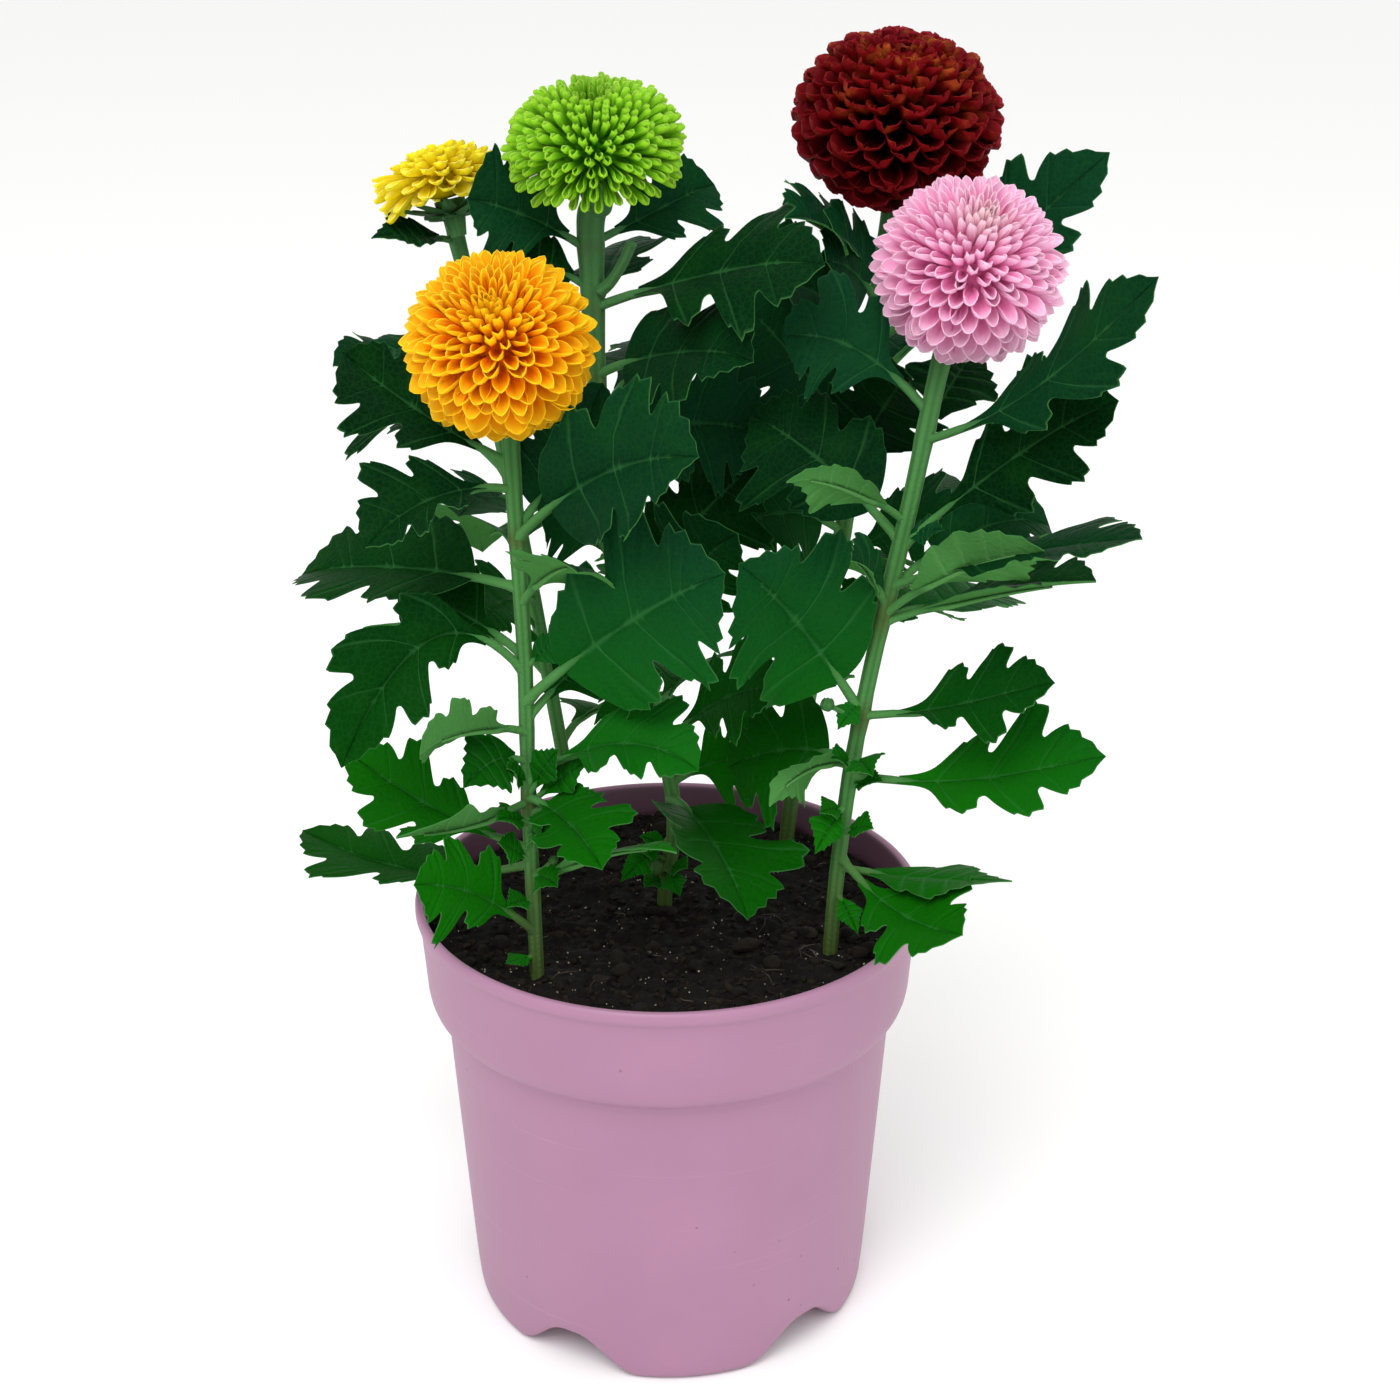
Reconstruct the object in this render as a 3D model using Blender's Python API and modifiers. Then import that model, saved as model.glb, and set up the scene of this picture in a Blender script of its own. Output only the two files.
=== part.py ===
# Pot chrysanthemum: pot, soil, five leafy stems and five flower heads.
# Frame: pot axis on the plane of the feet, +Z up, the seen side is -Y.
# Tables are in millimetres, everything that is built is in metres.
import math

import bmesh
import bpy
from mathutils import Vector, noise

for leftover in list(bpy.data.objects):
    bpy.data.objects.remove(leftover, do_unlink=True)

MM = 0.001

# Pot: one moulded shell, radius and height of the closed section
TURN_STEPS = 36
POT_SECTION = [
    (0.0, 11.4), (40.2, 11.4), (41.0, 0.0), (50.8, 0.0), (52.2, 1.6),
    (58.0, 84.4), (58.3, 85.4), (61.5, 87.8), (62.6, 91.4), (64.0, 111.4),
    (65.0, 112.4), (65.0, 114.9), (64.3, 115.6), (63.2, 115.6), (62.5, 114.7),
    (61.3, 91.8), (60.4, 89.2), (57.1, 86.6), (56.6, 85.2), (50.6, 13.0), (0.0, 13.0)]
FEET = 5
FOOT_TURN = 7.0            # first foot, from the seen side towards +X
FOOT_HALF = 16.0           # half of the flat of a foot, degrees
ARCH_HEIGHT = 10.6
ARCH_FLANK = 18.4          # degrees over which an arch rises
DRAIN_RADIUS = 3.5
DRAIN_PLACE = 27.0

# Soil: root ball 0.35 mm inside the pot wall
SOIL_SIDE = [
    (0.0, 13.4), (50.28, 13.4), (56.25, 85.35), (56.8, 86.9),
    (60.1, 89.5), (60.95, 91.9), (61.8, 107.2)]
SOIL_TOP = [(43.0, 107.8), (22.0, 107.2)]
SOIL_LUMP = 1.1
HOLE_BOTTOM = 73.6
HOLE_PLAY = 0.42

# Stems: points of the axis and radius, from the root end to the calyx
STEM_SIDES = 8
STEMS = {
    "orange": [((-32, -32, 74), 1.65), ((-32, -32, 110), 1.7), ((-33, -28, 153), 1.7),
               ((-33, -27, 189), 1.75), ((-34, -26, 219), 1.8), ((-35, -22, 241), 2.0),
               ((-35, -20, 250), 2.4)],
    "green": [((-1, 5, 74), 1.75), ((-1, 5, 110), 1.8), ((1, 6, 140), 1.8),
              ((-13, 4, 208), 1.85), ((-16, 3, 244), 2.0), ((-17, 3, 275), 2.7),
              ((-17, 4, 287), 3.1)],
    "pink": [((41, -20, 74), 1.75), ((41, -20, 110), 1.8), ((44, -19, 149), 1.85),
             ((49, -20, 184), 1.9), ((57, -20, 226), 2.0), ((62, -16, 252), 2.15),
             ((65, -11, 263), 2.4)],
    "red": [((32, 40, 74), 1.9), ((32, 40, 110), 1.95), ((38, 38, 158), 2.0),
            ((44, 36, 192), 2.1), ((50, 34, 241), 2.2), ((53, 34, 268), 2.3),
            ((55, 34, 284), 2.5)],
    "yellow": [((-26, 40, 74), 1.7), ((-26, 40, 110), 1.75), ((-32, 38, 158), 1.8),
               ((-39, 36, 205), 1.85), ((-47, 33, 255), 1.9), ((-51, 30, 277), 2.0),
               ((-52, 29, 283), 2.1)],
}

# Leaves: height on the stem, tip, rise of the middle, width,
# (turn of the face towards the seen side, lean of the face towards +X)
LEAVES = {
    "orange": [
        (137, (-100, 34, 116), -7, 25, (24, -8)),
        (119, (-57, -62, 148), 4, 26, (50, 0)),
        (141, (-78, -16, 161), -3, 25, (45, 0)),
        (153, (-62, -52, 156), -2, 24, (-50, 0)),
        (186, (-74, -48, 171), 20, 27, (60, -12)),
        (207, (-90, 2, 201), 3, 38, (35, 0)),
        (230, (-66, -48, 225), 5, 25, (45, -30)),
        (190, (-66, -4, 196), 4, 32, (50, -5)),
        (236, (-75, -4, 257), -2, 30, (35, -10)),
        (203, (-18, -50, 221), 3, 28, (-60, 0)),
        (221, (-14, -16, 253), -2, 34, (60, 10)),
        (219, (8, -58, 248), 6, 38, (60, 10)),
        (179, (14, -52, 220), 3, 46, (80, 0)),
        (158, (8, -50, 172), 8, 26, (25, 0)),
        (171, (-56, -52, 177), 3, 25, (-55, 0)),
        (154, (-14, -62, 153), 3, 26, (60, 20)),
        (131, (3, -52, 152), 4, 20, (-40, 0)),
        (174, (-8, -18, 192), 3, 30, (60, 0)),
        (163, (-47, -42, 163), 4, 18, (50, 0)),
    ],
    "green": [
        (266, (35, -26, 284), 2, 40, (30, 10)),
        (250, (19, -30, 263), 3, 34, (50, 0)),
        (279, (-45, 0, 292), 2, 32, (50, 0)),
        (281, (12, 24, 292), 0, 28, (40, 20)),
        (232, (24, 2, 236), 4, 36, (60, 0)),
        (202, (-31, -8, 221), 3, 32, (60, 0)),
        (138, (20, -46, 132), 5, 38, (50, 20)),
        (152, (27, -22, 180), 5, 28, (40, 0)),
        (190, (22, 5, 228), 3, 34, (60, 0)),
        (178, (16, -15, 216), 4, 32, (65, 0)),
        (152, (-16, -2, 176), 3, 28, (60, 0)),
        (142, (27, 2, 151), 3, 30, (55, 0)),
        (270, (-41, 2, 280), 2, 20, (50, 0)),
        (180, (0, 72, 178), 8, 40, (-30, 0)),
        (238, (5, 62, 246), 6, 38, (-30, 0)),
        (160, (10, 54, 156), 5, 30, (-20, 0)),
        (262, (-10, 46, 273), 4, 28, (-25, 0)),
    ],
    "pink": [
        (134, (68, -62, 136), -5, 32, (32, 0)),
        (131, (81, -50, 143), -1, 20, (8, 0)),
        (156, (100, -48, 175), -4, 31, (32, 0)),
        (172, (88, -45, 192), -2, 25, (22, 0)),
        (198, (84, -60, 228), 4, 22, (-50, 0)),
        (204, (92, -10, 218), 6, 32, (35, 0)),
        (196, (91, 20, 186), 4, 24, (20, 0)),
        (196, (98, -38, 213), 2, 26, (-20, 0)),
        (205, (100, -76, 236), 2, 26, (20, 0)),
        (214, (99, -40, 256), 3, 32, (45, 0)),
        (240, (101, -64, 288), -6, 25, (45, 0)),
        (246, (27, -12, 263), 6, 32, (60, -10)),
        (240, (74, 12, 253), 2, 22, (60, 0)),
        (200, (42, -44, 220), 3, 16, (50, 0)),
        (216, (20, -9, 244), 3, 36, (65, 0)),
        (172, (18, -32, 214), 3, 44, (75, 0)),
        (221, (27, -40, 238), 3, 16, (-50, 0)),
        (160, (15, -6, 152), 4, 34, (50, 0)),
        (158, (24, -34, 155), 5, 20, (-55, 0)),
    ],
    "red": [
        (250, (25, 14, 270), 4, 32, (50, 0)),
        (266, (29, 10, 287), 3, 30, (40, -10)),
        (222, (19, 24, 262), 3, 38, (60, 0)),
        (205, (92, 56, 200), 4, 38, (-20, 10)),
        (178, (54, 75, 174), 12, 40, (-30, 0)),
        (235, (78, 73, 242), 8, 38, (-30, 10)),
        (250, (102, 10, 301), -3, 27, (40, 10)),
        (236, (92, 16, 282), 4, 26, (30, 0)),
        (260, (38, 12, 275), 3, 34, (55, 0)),
        (216, (58, 4, 250), 3, 34, (60, 0)),
        (200, (16, 12, 208), 5, 36, (55, 0)),
        (165, (74, 70, 168), 8, 36, (-10, 10)),
        (190, (72, 12, 212), 4, 28, (45, 0)),
        (256, (66, 70, 264), 5, 28, (-25, 10)),
        (142, (34, 72, 138), 8, 32, (-25, 0)),
    ],
    "yellow": [
        (232, (-81, 18, 250), 5, 28, (20, 0)),
        (255, (-76, 6, 252), 0, 12, (30, -20)),
        (276, (-69, 12, 281), 1, 14, (30, 0)),
        (185, (-52, 75, 182), 10, 40, (-30, 0)),
        (160, (-88, 68, 152), 12, 40, (-20, -20)),
        (215, (-82, 70, 220), 8, 38, (-25, -20)),
        (208, (-50, -2, 216), 3, 32, (60, 0)),
        (180, (-47, 2, 188), 3, 30, (60, 0)),
        (138, (-10, 74, 126), 10, 34, (-30, 0)),
    ],
}
BLADE_THICK = 0.7
STALK_PART = 0.20          # part of a leaf that is bare stalk
# place on the midrib, place of the edge, half width as a part of the width
LOBED_EDGE = [
    (0.00, 0.00, 0.06), (0.18, 0.36, 0.38), (0.33, 0.45, 0.18), (0.43, 0.69, 0.49),
    (0.60, 0.74, 0.20), (0.69, 0.87, 0.28), (1.00, 1.00, 0.0)]
SMALL_EDGE = [(0.00, 0.00, 0.08), (0.40, 0.50, 0.50), (0.64, 0.70, 0.26), (1.00, 1.00, 0.0)]
SMALL_WIDTH = 25

# Flower heads: centre, tilt to the seen side, lean to +X, radius, height factor,
# number of petals, petal width, cup of a petal, lowest row (degrees below the middle)
BLOOMS = {
    "orange": ((-36, -30, 265.5), 40, -4, 22.5, 0.88, 32, 10.2, 0.34, 44),
    "green": ((-15.6, 0, 303.2), 14, -2, 21.5, 0.60, 32, 8.6, 0.30, 34),
    "pink": ((68.2, -20, 280), 34, 6, 22.5, 0.88, 30, 10.4, 0.34, 44),
    "red": ((55.2, 30, 305), 16, 4, 26.0, 0.79, 31, 13.0, 0.26, 42),
    "yellow": ((-53.0, 27, 291.0), -10, -14, 14.5, 0.58, 19, 6.4, 0.26, 28),
}
CORE_PART = 0.56           # radius of the dense middle of a head
PETAL_THICK = 0.75
SEAT_GAP = 0.3
GOLDEN_TURN = 137.508


def metres(point):
    return Vector(point) * MM


def finish_object(name, bm):
    bmesh.ops.recalc_face_normals(bm, faces=bm.faces)
    mesh = bpy.data.meshes.new(name)
    bm.to_mesh(mesh)
    bm.free()
    made = bpy.data.objects.new(name, mesh)
    bpy.context.scene.collection.objects.link(made)
    return made


def apply_modifiers(made):
    bpy.context.view_layer.update()
    graph = bpy.context.evaluated_depsgraph_get()
    shaped = bpy.data.meshes.new_from_object(made.evaluated_get(graph))
    made.modifiers.clear()
    made.data = shaped


def hide_helper(helper):
    helper.hide_render = True
    helper.display_type = "WIRE"


def drop(objects):
    for made in objects:
        bpy.data.objects.remove(made, do_unlink=True)


def join_all(base, repeats, operation="UNION"):
    """One Boolean on a collection, applied, its objects removed."""
    group = bpy.data.collections.new(base.name + "_repeats")
    bpy.context.scene.collection.children.link(group)
    for repeat in repeats:
        hide_helper(repeat)
        group.objects.link(repeat)
        bpy.context.scene.collection.objects.unlink(repeat)
    join = base.modifiers.new("join", "BOOLEAN")
    join.operation = operation
    join.operand_type = "COLLECTION"
    join.collection = group
    join.solver = "MANIFOLD"
    join.use_self = False
    apply_modifiers(base)
    drop(repeats)
    bpy.data.collections.remove(group)
    return base


def turned(name, section, steps):
    """A closed section turned about the pot axis with a Screw modifier."""
    bm = bmesh.new()
    points = [bm.verts.new((r * MM, 0.0, z * MM)) for r, z in section]
    for first, second in zip(points, points[1:]):
        bm.edges.new((first, second))
    mesh = bpy.data.meshes.new(name)
    bm.to_mesh(mesh)
    bm.free()
    made = bpy.data.objects.new(name, mesh)
    bpy.context.scene.collection.objects.link(made)
    screw = made.modifiers.new("turn", "SCREW")
    screw.angle = math.radians(360)
    screw.steps = steps
    screw.render_steps = steps
    screw.use_merge_vertices = True
    screw.use_smooth_shade = False
    screw.merge_threshold = 0.00005
    apply_modifiers(made)
    bm = bmesh.new()
    bm.from_mesh(made.data)
    bmesh.ops.recalc_face_normals(bm, faces=bm.faces)
    bm.to_mesh(made.data)
    bm.free()
    return made


def upright(name, x, y, radius, low, high, sides):
    bm = bmesh.new()
    bmesh.ops.create_cone(
        bm, cap_ends=True, segments=sides, radius1=radius * MM, radius2=radius * MM,
        depth=(high - low) * MM)
    bmesh.ops.translate(bm, verts=bm.verts, vec=metres((x, y, (low + high) / 2)))
    return finish_object(name, bm)


def arch_cutter(index):
    """Wedge between two feet with S-shaped flanks."""
    middle = math.radians(FOOT_TURN + 36 + index * 360 / FEET)
    half = 36 - FOOT_HALF
    turns = [-20, -16, -12, -8, -4, 0, 4, 8, 12, 16, 20]
    bm = bmesh.new()
    rows = []
    for radius in (36, 62):
        top, low = [], []
        for turn in turns:
            part = max(0.0, min(1.0, (half - abs(turn)) / ARCH_FLANK))
            height = ARCH_HEIGHT * (3 * part ** 2 - 2 * part ** 3)
            where = middle + math.radians(turn)
            x, y = radius * math.sin(where), -radius * math.cos(where)
            top.append(bm.verts.new(metres((x, y, height - 0.02))))
            low.append(bm.verts.new(metres((x, y, -4))))
        rows.append(top + low[::-1])
    inner, outer = rows
    bm.faces.new(inner)
    bm.faces.new(outer[::-1])
    count = len(inner)
    for step in range(count):
        after = (step + 1) % count
        bm.faces.new((inner[step], inner[after], outer[after], outer[step]))
    return finish_object("arch_%d" % index, bm)


def make_pot():
    pot = turned("pot", POT_SECTION, TURN_STEPS)
    cutters = [arch_cutter(index) for index in range(FEET)]
    for index in range(FEET):
        where = math.radians(FOOT_TURN + index * 360 / FEET)
        cutters.append(upright(
            "drain_%d" % index, DRAIN_PLACE * math.sin(where),
            -DRAIN_PLACE * math.cos(where), DRAIN_RADIUS, 9, 16, 8))
    return join_all(pot, cutters, "DIFFERENCE")


def make_soil():
    rings = SOIL_SIDE + SOIL_TOP + [(0.0, 107.6)]
    soil = turned("soil", rings, TURN_STEPS)
    for vertex in soil.data.vertices:
        if vertex.co.z > 107.0 * MM and vertex.co.xy.length < 59 * MM:
            lump = noise.noise(vertex.co * 55) + 0.6 * noise.noise(vertex.co * 140)
            vertex.co.z += SOIL_LUMP * MM * lump
    holes = []
    for colour, points in STEMS.items():
        (x, y, _), radius = points[0]
        holes.append(upright(
            "hole_" + colour, x, y, points[1][1] + HOLE_PLAY, HOLE_BOTTOM, 116, 12))
    return join_all(soil, holes, "DIFFERENCE")


def tube(name, centres, radii, sides):
    """Closed tube through the points; the end faces are flat."""
    bm = bmesh.new()
    rings = []
    for index, centre in enumerate(centres):
        before = centres[max(0, index - 1)]
        after = centres[min(len(centres) - 1, index + 1)]
        along = (after - before).normalized()
        across = along.orthogonal() if index == 0 else across - across.dot(along) * along
        across.normalize()
        up = along.cross(across)
        ring = []
        for side in range(sides):
            turn = math.tau * side / sides
            ring.append(bm.verts.new(
                centre + (across * math.cos(turn) + up * math.sin(turn)) * radii[index]))
        rings.append(ring)
    for first, second in zip(rings, rings[1:]):
        for side in range(sides):
            after = (side + 1) % sides
            bm.faces.new((first[side], first[after], second[after], second[side]))
    bm.faces.new(rings[0][::-1])
    bm.faces.new(rings[-1])
    bmesh.ops.triangulate(bm, faces=bm.faces)
    return finish_object(name, bm)


def stem_point(colour, height):
    points = STEMS[colour]
    for (low, _), (high, _) in zip(points[1:], points[2:]):
        if height <= high[2]:
            part = (height - low[2]) / (high[2] - low[2])
            return metres(low).lerp(metres(high), part)
    return metres(points[-1][0])


def leaf_frame(root, tip, rise, turn, lean, place):
    """Point, direction, sideways and face direction at one place of a leaf."""
    middle = (root + tip) / 2 + Vector((0, 0, 2 * rise * MM))
    point = root * (1 - place) ** 2 + middle * 2 * place * (1 - place) + tip * place ** 2
    along = ((middle - root) * (1 - place) + (tip - middle) * place).normalized()
    turn, lean = math.radians(turn), math.radians(lean)
    face = Vector((math.sin(lean), -math.sin(turn) * math.cos(lean),
                   math.cos(turn) * math.cos(lean)))
    face = (face - face.dot(along) * along).normalized()
    return point, along, face.cross(along), face


def make_leaf(name, colour, row):
    """Stalk and blade in one closed strip, thicker along the midrib."""
    height, tip, rise, width, (turn, lean) = row
    root, tip = stem_point(colour, height), metres(tip)
    stalk = (0.85 + width * 0.01) / width
    rows = [(0.0, 0.0, stalk, 0.95), (STALK_PART * 0.88, STALK_PART * 0.88, stalk, 0.9)]
    for number, (middle, side, half) in enumerate(SMALL_EDGE if width < SMALL_WIDTH else LOBED_EDGE):
        rows.append((STALK_PART + (1 - STALK_PART) * middle,
                     STALK_PART + (1 - STALK_PART) * side, half, max(0.35, 0.8 - 0.25 * number)))
    bm = bmesh.new()
    layers = {1: [], -1: []}
    for number, (middle, side, half, rib) in enumerate(rows):
        columns = [(side, -half), (middle, 0.0), (side, half)] if half else [(middle, 0.0)]
        for layer in (1, -1):
            station = []
            for column, (where, across) in enumerate(columns):
                if number < 3 and layer < 0 and across:
                    station.append(layers[1][number][column])
                    continue
                point, _, side_way, face = leaf_frame(root, tip, rise, turn, lean, where)
                lift = abs(across) * (0.08 + 0.12 * (-1) ** number) if number > 2 else 0.0
                half_thick = (BLADE_THICK / 2 if number > 2 else 0.0) if across else rib
                station.append(bm.verts.new(
                    point + (side_way * across * width + face * lift * width
                             + face * layer * half_thick) * MM))
            layers[layer].append(station)
    for stations in layers.values():
        for first, second in zip(stations, stations[1:]):
            bm.faces.new((first[0], first[1], second[0]))
            if len(second) == 1:
                bm.faces.new((first[1], first[2], second[0]))
                continue
            bm.faces.new((first[1], second[1], second[0]))
            bm.faces.new((first[1], first[2], second[2]))
            bm.faces.new((first[1], second[2], second[1]))
    top, low = layers[1], layers[-1]
    for side in (0, -1):
        for index in range(2, len(top) - 1):
            if index > 2:
                bm.faces.new((top[index][side], top[index + 1][side], low[index][side]))
            bm.faces.new((top[index + 1][side], low[index + 1][side], low[index][side]))
    for side in (0, 2):
        bm.faces.new((top[0][side], top[0][1], low[0][1]))
    return [finish_object(name, bm)]


def head_axes(tilt, lean):
    tilt, lean = math.radians(tilt), math.radians(lean)
    axis = Vector((math.sin(lean), -math.sin(tilt) * math.cos(lean),
                   math.cos(tilt) * math.cos(lean)))
    side = axis.cross(Vector((0, 1, 0))).normalized()
    return axis, side, axis.cross(side)


def on_axis(name, section, centre, axes, sides):
    """Small turned solid on the axis of a head; section from low to high."""
    axis, side, other = axes
    bm = bmesh.new()
    rings = []
    for radius, level in section:
        ring = []
        for step in range(sides):
            turn = math.tau * step / sides
            spoke = side * math.cos(turn) + other * math.sin(turn)
            ring.append(bm.verts.new(centre + (axis * level + spoke * radius) * MM))
        rings.append(ring)
    for first, second in zip(rings, rings[1:]):
        for step in range(sides):
            after = (step + 1) % sides
            bm.faces.new((first[step], first[after], second[after], second[step]))
    bm.faces.new(rings[0][::-1])
    bm.faces.new(rings[-1])
    bmesh.ops.triangulate(bm, faces=bm.faces)
    return finish_object(name, bm)


def seat_level(radius, flat):
    return -0.82 * CORE_PART * radius * flat


def make_calyx(colour):
    centre, tilt, lean, radius, flat = BLOOMS[colour][:5]
    level = seat_level(radius, flat) - SEAT_GAP
    wide = 0.26 * radius
    neck = STEMS[colour][-1][1]
    section = [(neck * 0.8, level - 8.5), (neck * 1.15, level - 6.5),
               (wide * 0.86, level - 2.6), (wide, level)]
    return on_axis("calyx_" + colour, section, metres(centre), head_axes(tilt, lean), 10)


def make_stem(colour):
    points = STEMS[colour]
    centre, tilt, lean, radius, flat = BLOOMS[colour][:5]
    axis = head_axes(tilt, lean)[0]
    end = metres(centre) + axis * (seat_level(radius, flat) - 6.0) * MM
    centres = [metres(point) for point, _ in points] + [end]
    radii = [size * MM for _, size in points] + [points[-1][1] * 1.05 * MM]
    stem = tube("leafy_stem_" + colour, centres, radii, STEM_SIDES)
    repeats = [make_calyx(colour)]
    for number, row in enumerate(LEAVES[colour]):
        repeats += make_leaf("leaf_%s_%02d" % (colour, number), colour, row)
    return join_all(stem, repeats)


def make_petal(name, centre, axes, polar, azimuth, start, length, width, cup):
    """Pointed trough that stands away from the middle of the head."""
    axis, side, other = axes
    spoke = side * math.cos(azimuth) + other * math.sin(azimuth)
    away = axis * math.cos(polar) + spoke * math.sin(polar)
    inward = axis * math.sin(polar) - spoke * math.cos(polar)
    across = away.cross(inward)
    root, wide, end = [], [], []
    bm = bmesh.new()
    for layer in (1, -1):
        for station, part, columns, bend in (
                (root, 0.0, (-0.13, 0.13), 0.0), (wide, 0.62, (-0.5, 0.0, 0.5), -0.02),
                (end, 1.0, (0.0,), 0.08)):
            for column in columns:
                lift = (cup * abs(column) * 2 - cup * 0.5 * (part == 0.62)) * width
                station.append(bm.verts.new(
                    centre + (away * (start + part * length) + across * column * width
                              + inward * (lift + bend * length
                                          + layer * PETAL_THICK / 2)) * MM))
    for layer in (0, 1):
        left, right = root[2 * layer], root[2 * layer + 1]
        low, middle, high = wide[3 * layer:3 * layer + 3]
        bm.faces.new((left, right, middle))
        bm.faces.new((left, middle, low))
        bm.faces.new((right, high, middle))
        bm.faces.new((low, middle, end[layer]))
        bm.faces.new((middle, high, end[layer]))
    for rim in ((root[0], wide[0], end[0], end[1], wide[3], root[2]),
                (root[1], wide[2], end[0], end[1], wide[5], root[3])):
        near, mid, far, far_low, mid_low, near_low = rim
        bm.faces.new((near, mid, mid_low, near_low))
        bm.faces.new((mid, far, far_low, mid_low))
    bm.faces.new((root[0], root[1], root[3], root[2]))
    bmesh.ops.triangulate(bm, faces=[face for face in bm.faces if len(face.verts) > 3])
    return finish_object(name, bm)


def make_bloom(colour):
    centre, tilt, lean, radius, flat, count, width, cup, low = BLOOMS[colour]
    centre, axes = metres(centre), head_axes(tilt, lean)
    core = CORE_PART * radius
    base = seat_level(radius, flat)
    section = [(0.30 * radius, base), (core * 0.88, base * 0.55), (core, 0.0),
               (core * 0.80, core * flat * 0.62), (core * 0.34, core * flat * 0.96)]
    bloom = on_axis("bloom_" + colour, section, centre, axes, 10)
    petals = []
    bottom = -math.sin(math.radians(low))
    for number in range(count):
        level = 0.985 + (bottom - 0.985) * number / (count - 1)
        polar = math.acos(level)
        azimuth = math.radians(GOLDEN_TURN) * number
        young = min(1.0, 0.45 + polar / 1.3)
        squash = math.sqrt(math.sin(polar) ** 2 + (flat * math.cos(polar)) ** 2)
        reach = radius * squash * (0.985 + 0.03 * math.sin(number * 2.4))
        start = core * squash * 0.72
        petals.append(make_petal(
            "petal_%02d" % number, centre, axes, polar, azimuth, start,
            reach - start, width * young, cup))
    return join_all(bloom, petals)


make_pot()
make_soil()
for name in STEMS:
    make_stem(name)
for name in BLOOMS:
    make_bloom(name)
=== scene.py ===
# A pot chrysanthemum with five flower heads of different colours.
# Every length in the tables is in millimetres, and the meshes are in metres.
import math
import random

import bpy
import numpy as np
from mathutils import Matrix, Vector
from mathutils.bvhtree import BVHTree


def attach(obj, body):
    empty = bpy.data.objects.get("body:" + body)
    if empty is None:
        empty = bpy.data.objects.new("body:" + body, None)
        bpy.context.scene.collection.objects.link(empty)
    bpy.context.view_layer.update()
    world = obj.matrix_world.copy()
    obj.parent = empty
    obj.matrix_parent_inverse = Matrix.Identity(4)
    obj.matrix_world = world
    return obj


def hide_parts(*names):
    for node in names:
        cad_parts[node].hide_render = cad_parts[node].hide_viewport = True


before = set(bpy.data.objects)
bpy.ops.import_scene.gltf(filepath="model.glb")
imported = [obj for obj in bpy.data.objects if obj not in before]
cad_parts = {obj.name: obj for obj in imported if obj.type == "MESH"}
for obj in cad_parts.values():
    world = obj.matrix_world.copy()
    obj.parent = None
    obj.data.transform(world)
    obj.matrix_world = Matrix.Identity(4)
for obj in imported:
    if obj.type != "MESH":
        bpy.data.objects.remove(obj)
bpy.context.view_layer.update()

# Pot: a 13 cm grower's pot with a collar and five feet, moulded in one piece of
# lilac polypropylene. The mould leaves a satin skin, a rounded lip and soft
# feet, and handling leaves specks and fine scratches.
MM = 0.001
POT_WALL_ROUND = 180
POT_WALL = [
    (41.0, 0.0), (48.6, 0.0), (49.9, 0.15), (50.9, 0.55), (51.6, 1.25), (52.0, 2.2), (52.25, 3.6),
    (52.45, 5.6), (52.7, 8.2), (52.95, 11.4), (53.3, 16.0), (54.4, 32.0), (55.9, 54.0),
    (57.3, 75.0), (57.85, 82.6), (58.0, 84.4), (58.25, 85.5), (58.9, 86.3), (60.0, 87.0),
    (61.0, 87.8), (61.7, 88.9), (62.2, 90.3), (62.55, 92.2), (63.1, 100.0), (63.7, 108.0),
    (63.95, 110.9), (64.25, 111.7), (64.8, 112.3), (65.0, 113.0), (65.0, 114.3), (64.8, 115.1),
    (64.3, 115.5), (63.7, 115.6), (63.1, 115.35), (62.75, 114.8), (62.5, 113.9), (61.9, 103.0),
    (61.3, 91.8), (60.9, 90.2), (60.2, 89.1), (57.3, 86.7), (56.8, 85.9), (56.6, 84.8),
    (54.0, 52.0), (51.2, 18.0), (50.6, 14.4), (49.4, 13.1), (30.0, 13.0), (4.0, 13.0)]
POT_FEET = 5
FOOT_TURN = 7.0
FOOT_HALF = 16.0
ARCH_HEIGHT = 10.6
ARCH_FLANK = 18.4
ARCH_REACH = 12.0
RECESS_RADIUS = 41.2
RECESS_HEIGHT = 11.4
RECESS_TAPER = 0.985
DRAIN_PLACE = 27.0
DRAIN_RADIUS = 3.5
DRAIN_DEPTH = 6.0
DRAIN_MIDDLE = 12.2
# the sockets of a Mix node that mixes two colours
SHARE, BASE, TOP = 0, 6, 7


def deselect_all():
    bpy.ops.object.select_all(action="DESELECT")


def hold(*objects):
    """Only these objects are selected, and the first is active."""
    deselect_all()
    for one in objects:
        one.select_set(True)
    bpy.context.view_layer.objects.active = objects[0]


def start_piece(name, add, **sizes):
    """A primitive is added with nothing else selected, and named."""
    deselect_all()
    add(**sizes)
    piece = bpy.context.object
    piece.name = name
    return piece


def settle(piece):
    """The piece keeps its shape, and its object lies at the origin."""
    hold(piece)
    bpy.ops.object.transform_apply(location=True, rotation=True, scale=True)


def join(pieces):
    hold(*pieces)
    bpy.ops.object.join()
    return bpy.context.object


def finish_with(piece, kind, **settings):
    """Adds a modifier with its settings and applies it."""
    modifier = piece.modifiers.new(kind.lower(), kind)
    for name, value in settings.items():
        setattr(modifier, name, value)
    hold(piece)
    bpy.ops.object.modifier_apply(modifier=modifier.name)


def edit_mode(action="SELECT"):
    bpy.ops.object.mode_set(mode="EDIT")
    bpy.ops.mesh.select_all(action=action)


def face_outwards():
    """Turns all faces outwards and leaves edit mode."""
    bpy.ops.mesh.select_all(action="SELECT")
    bpy.ops.mesh.normals_make_consistent(inside=False)
    bpy.ops.object.mode_set(mode="OBJECT")


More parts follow.
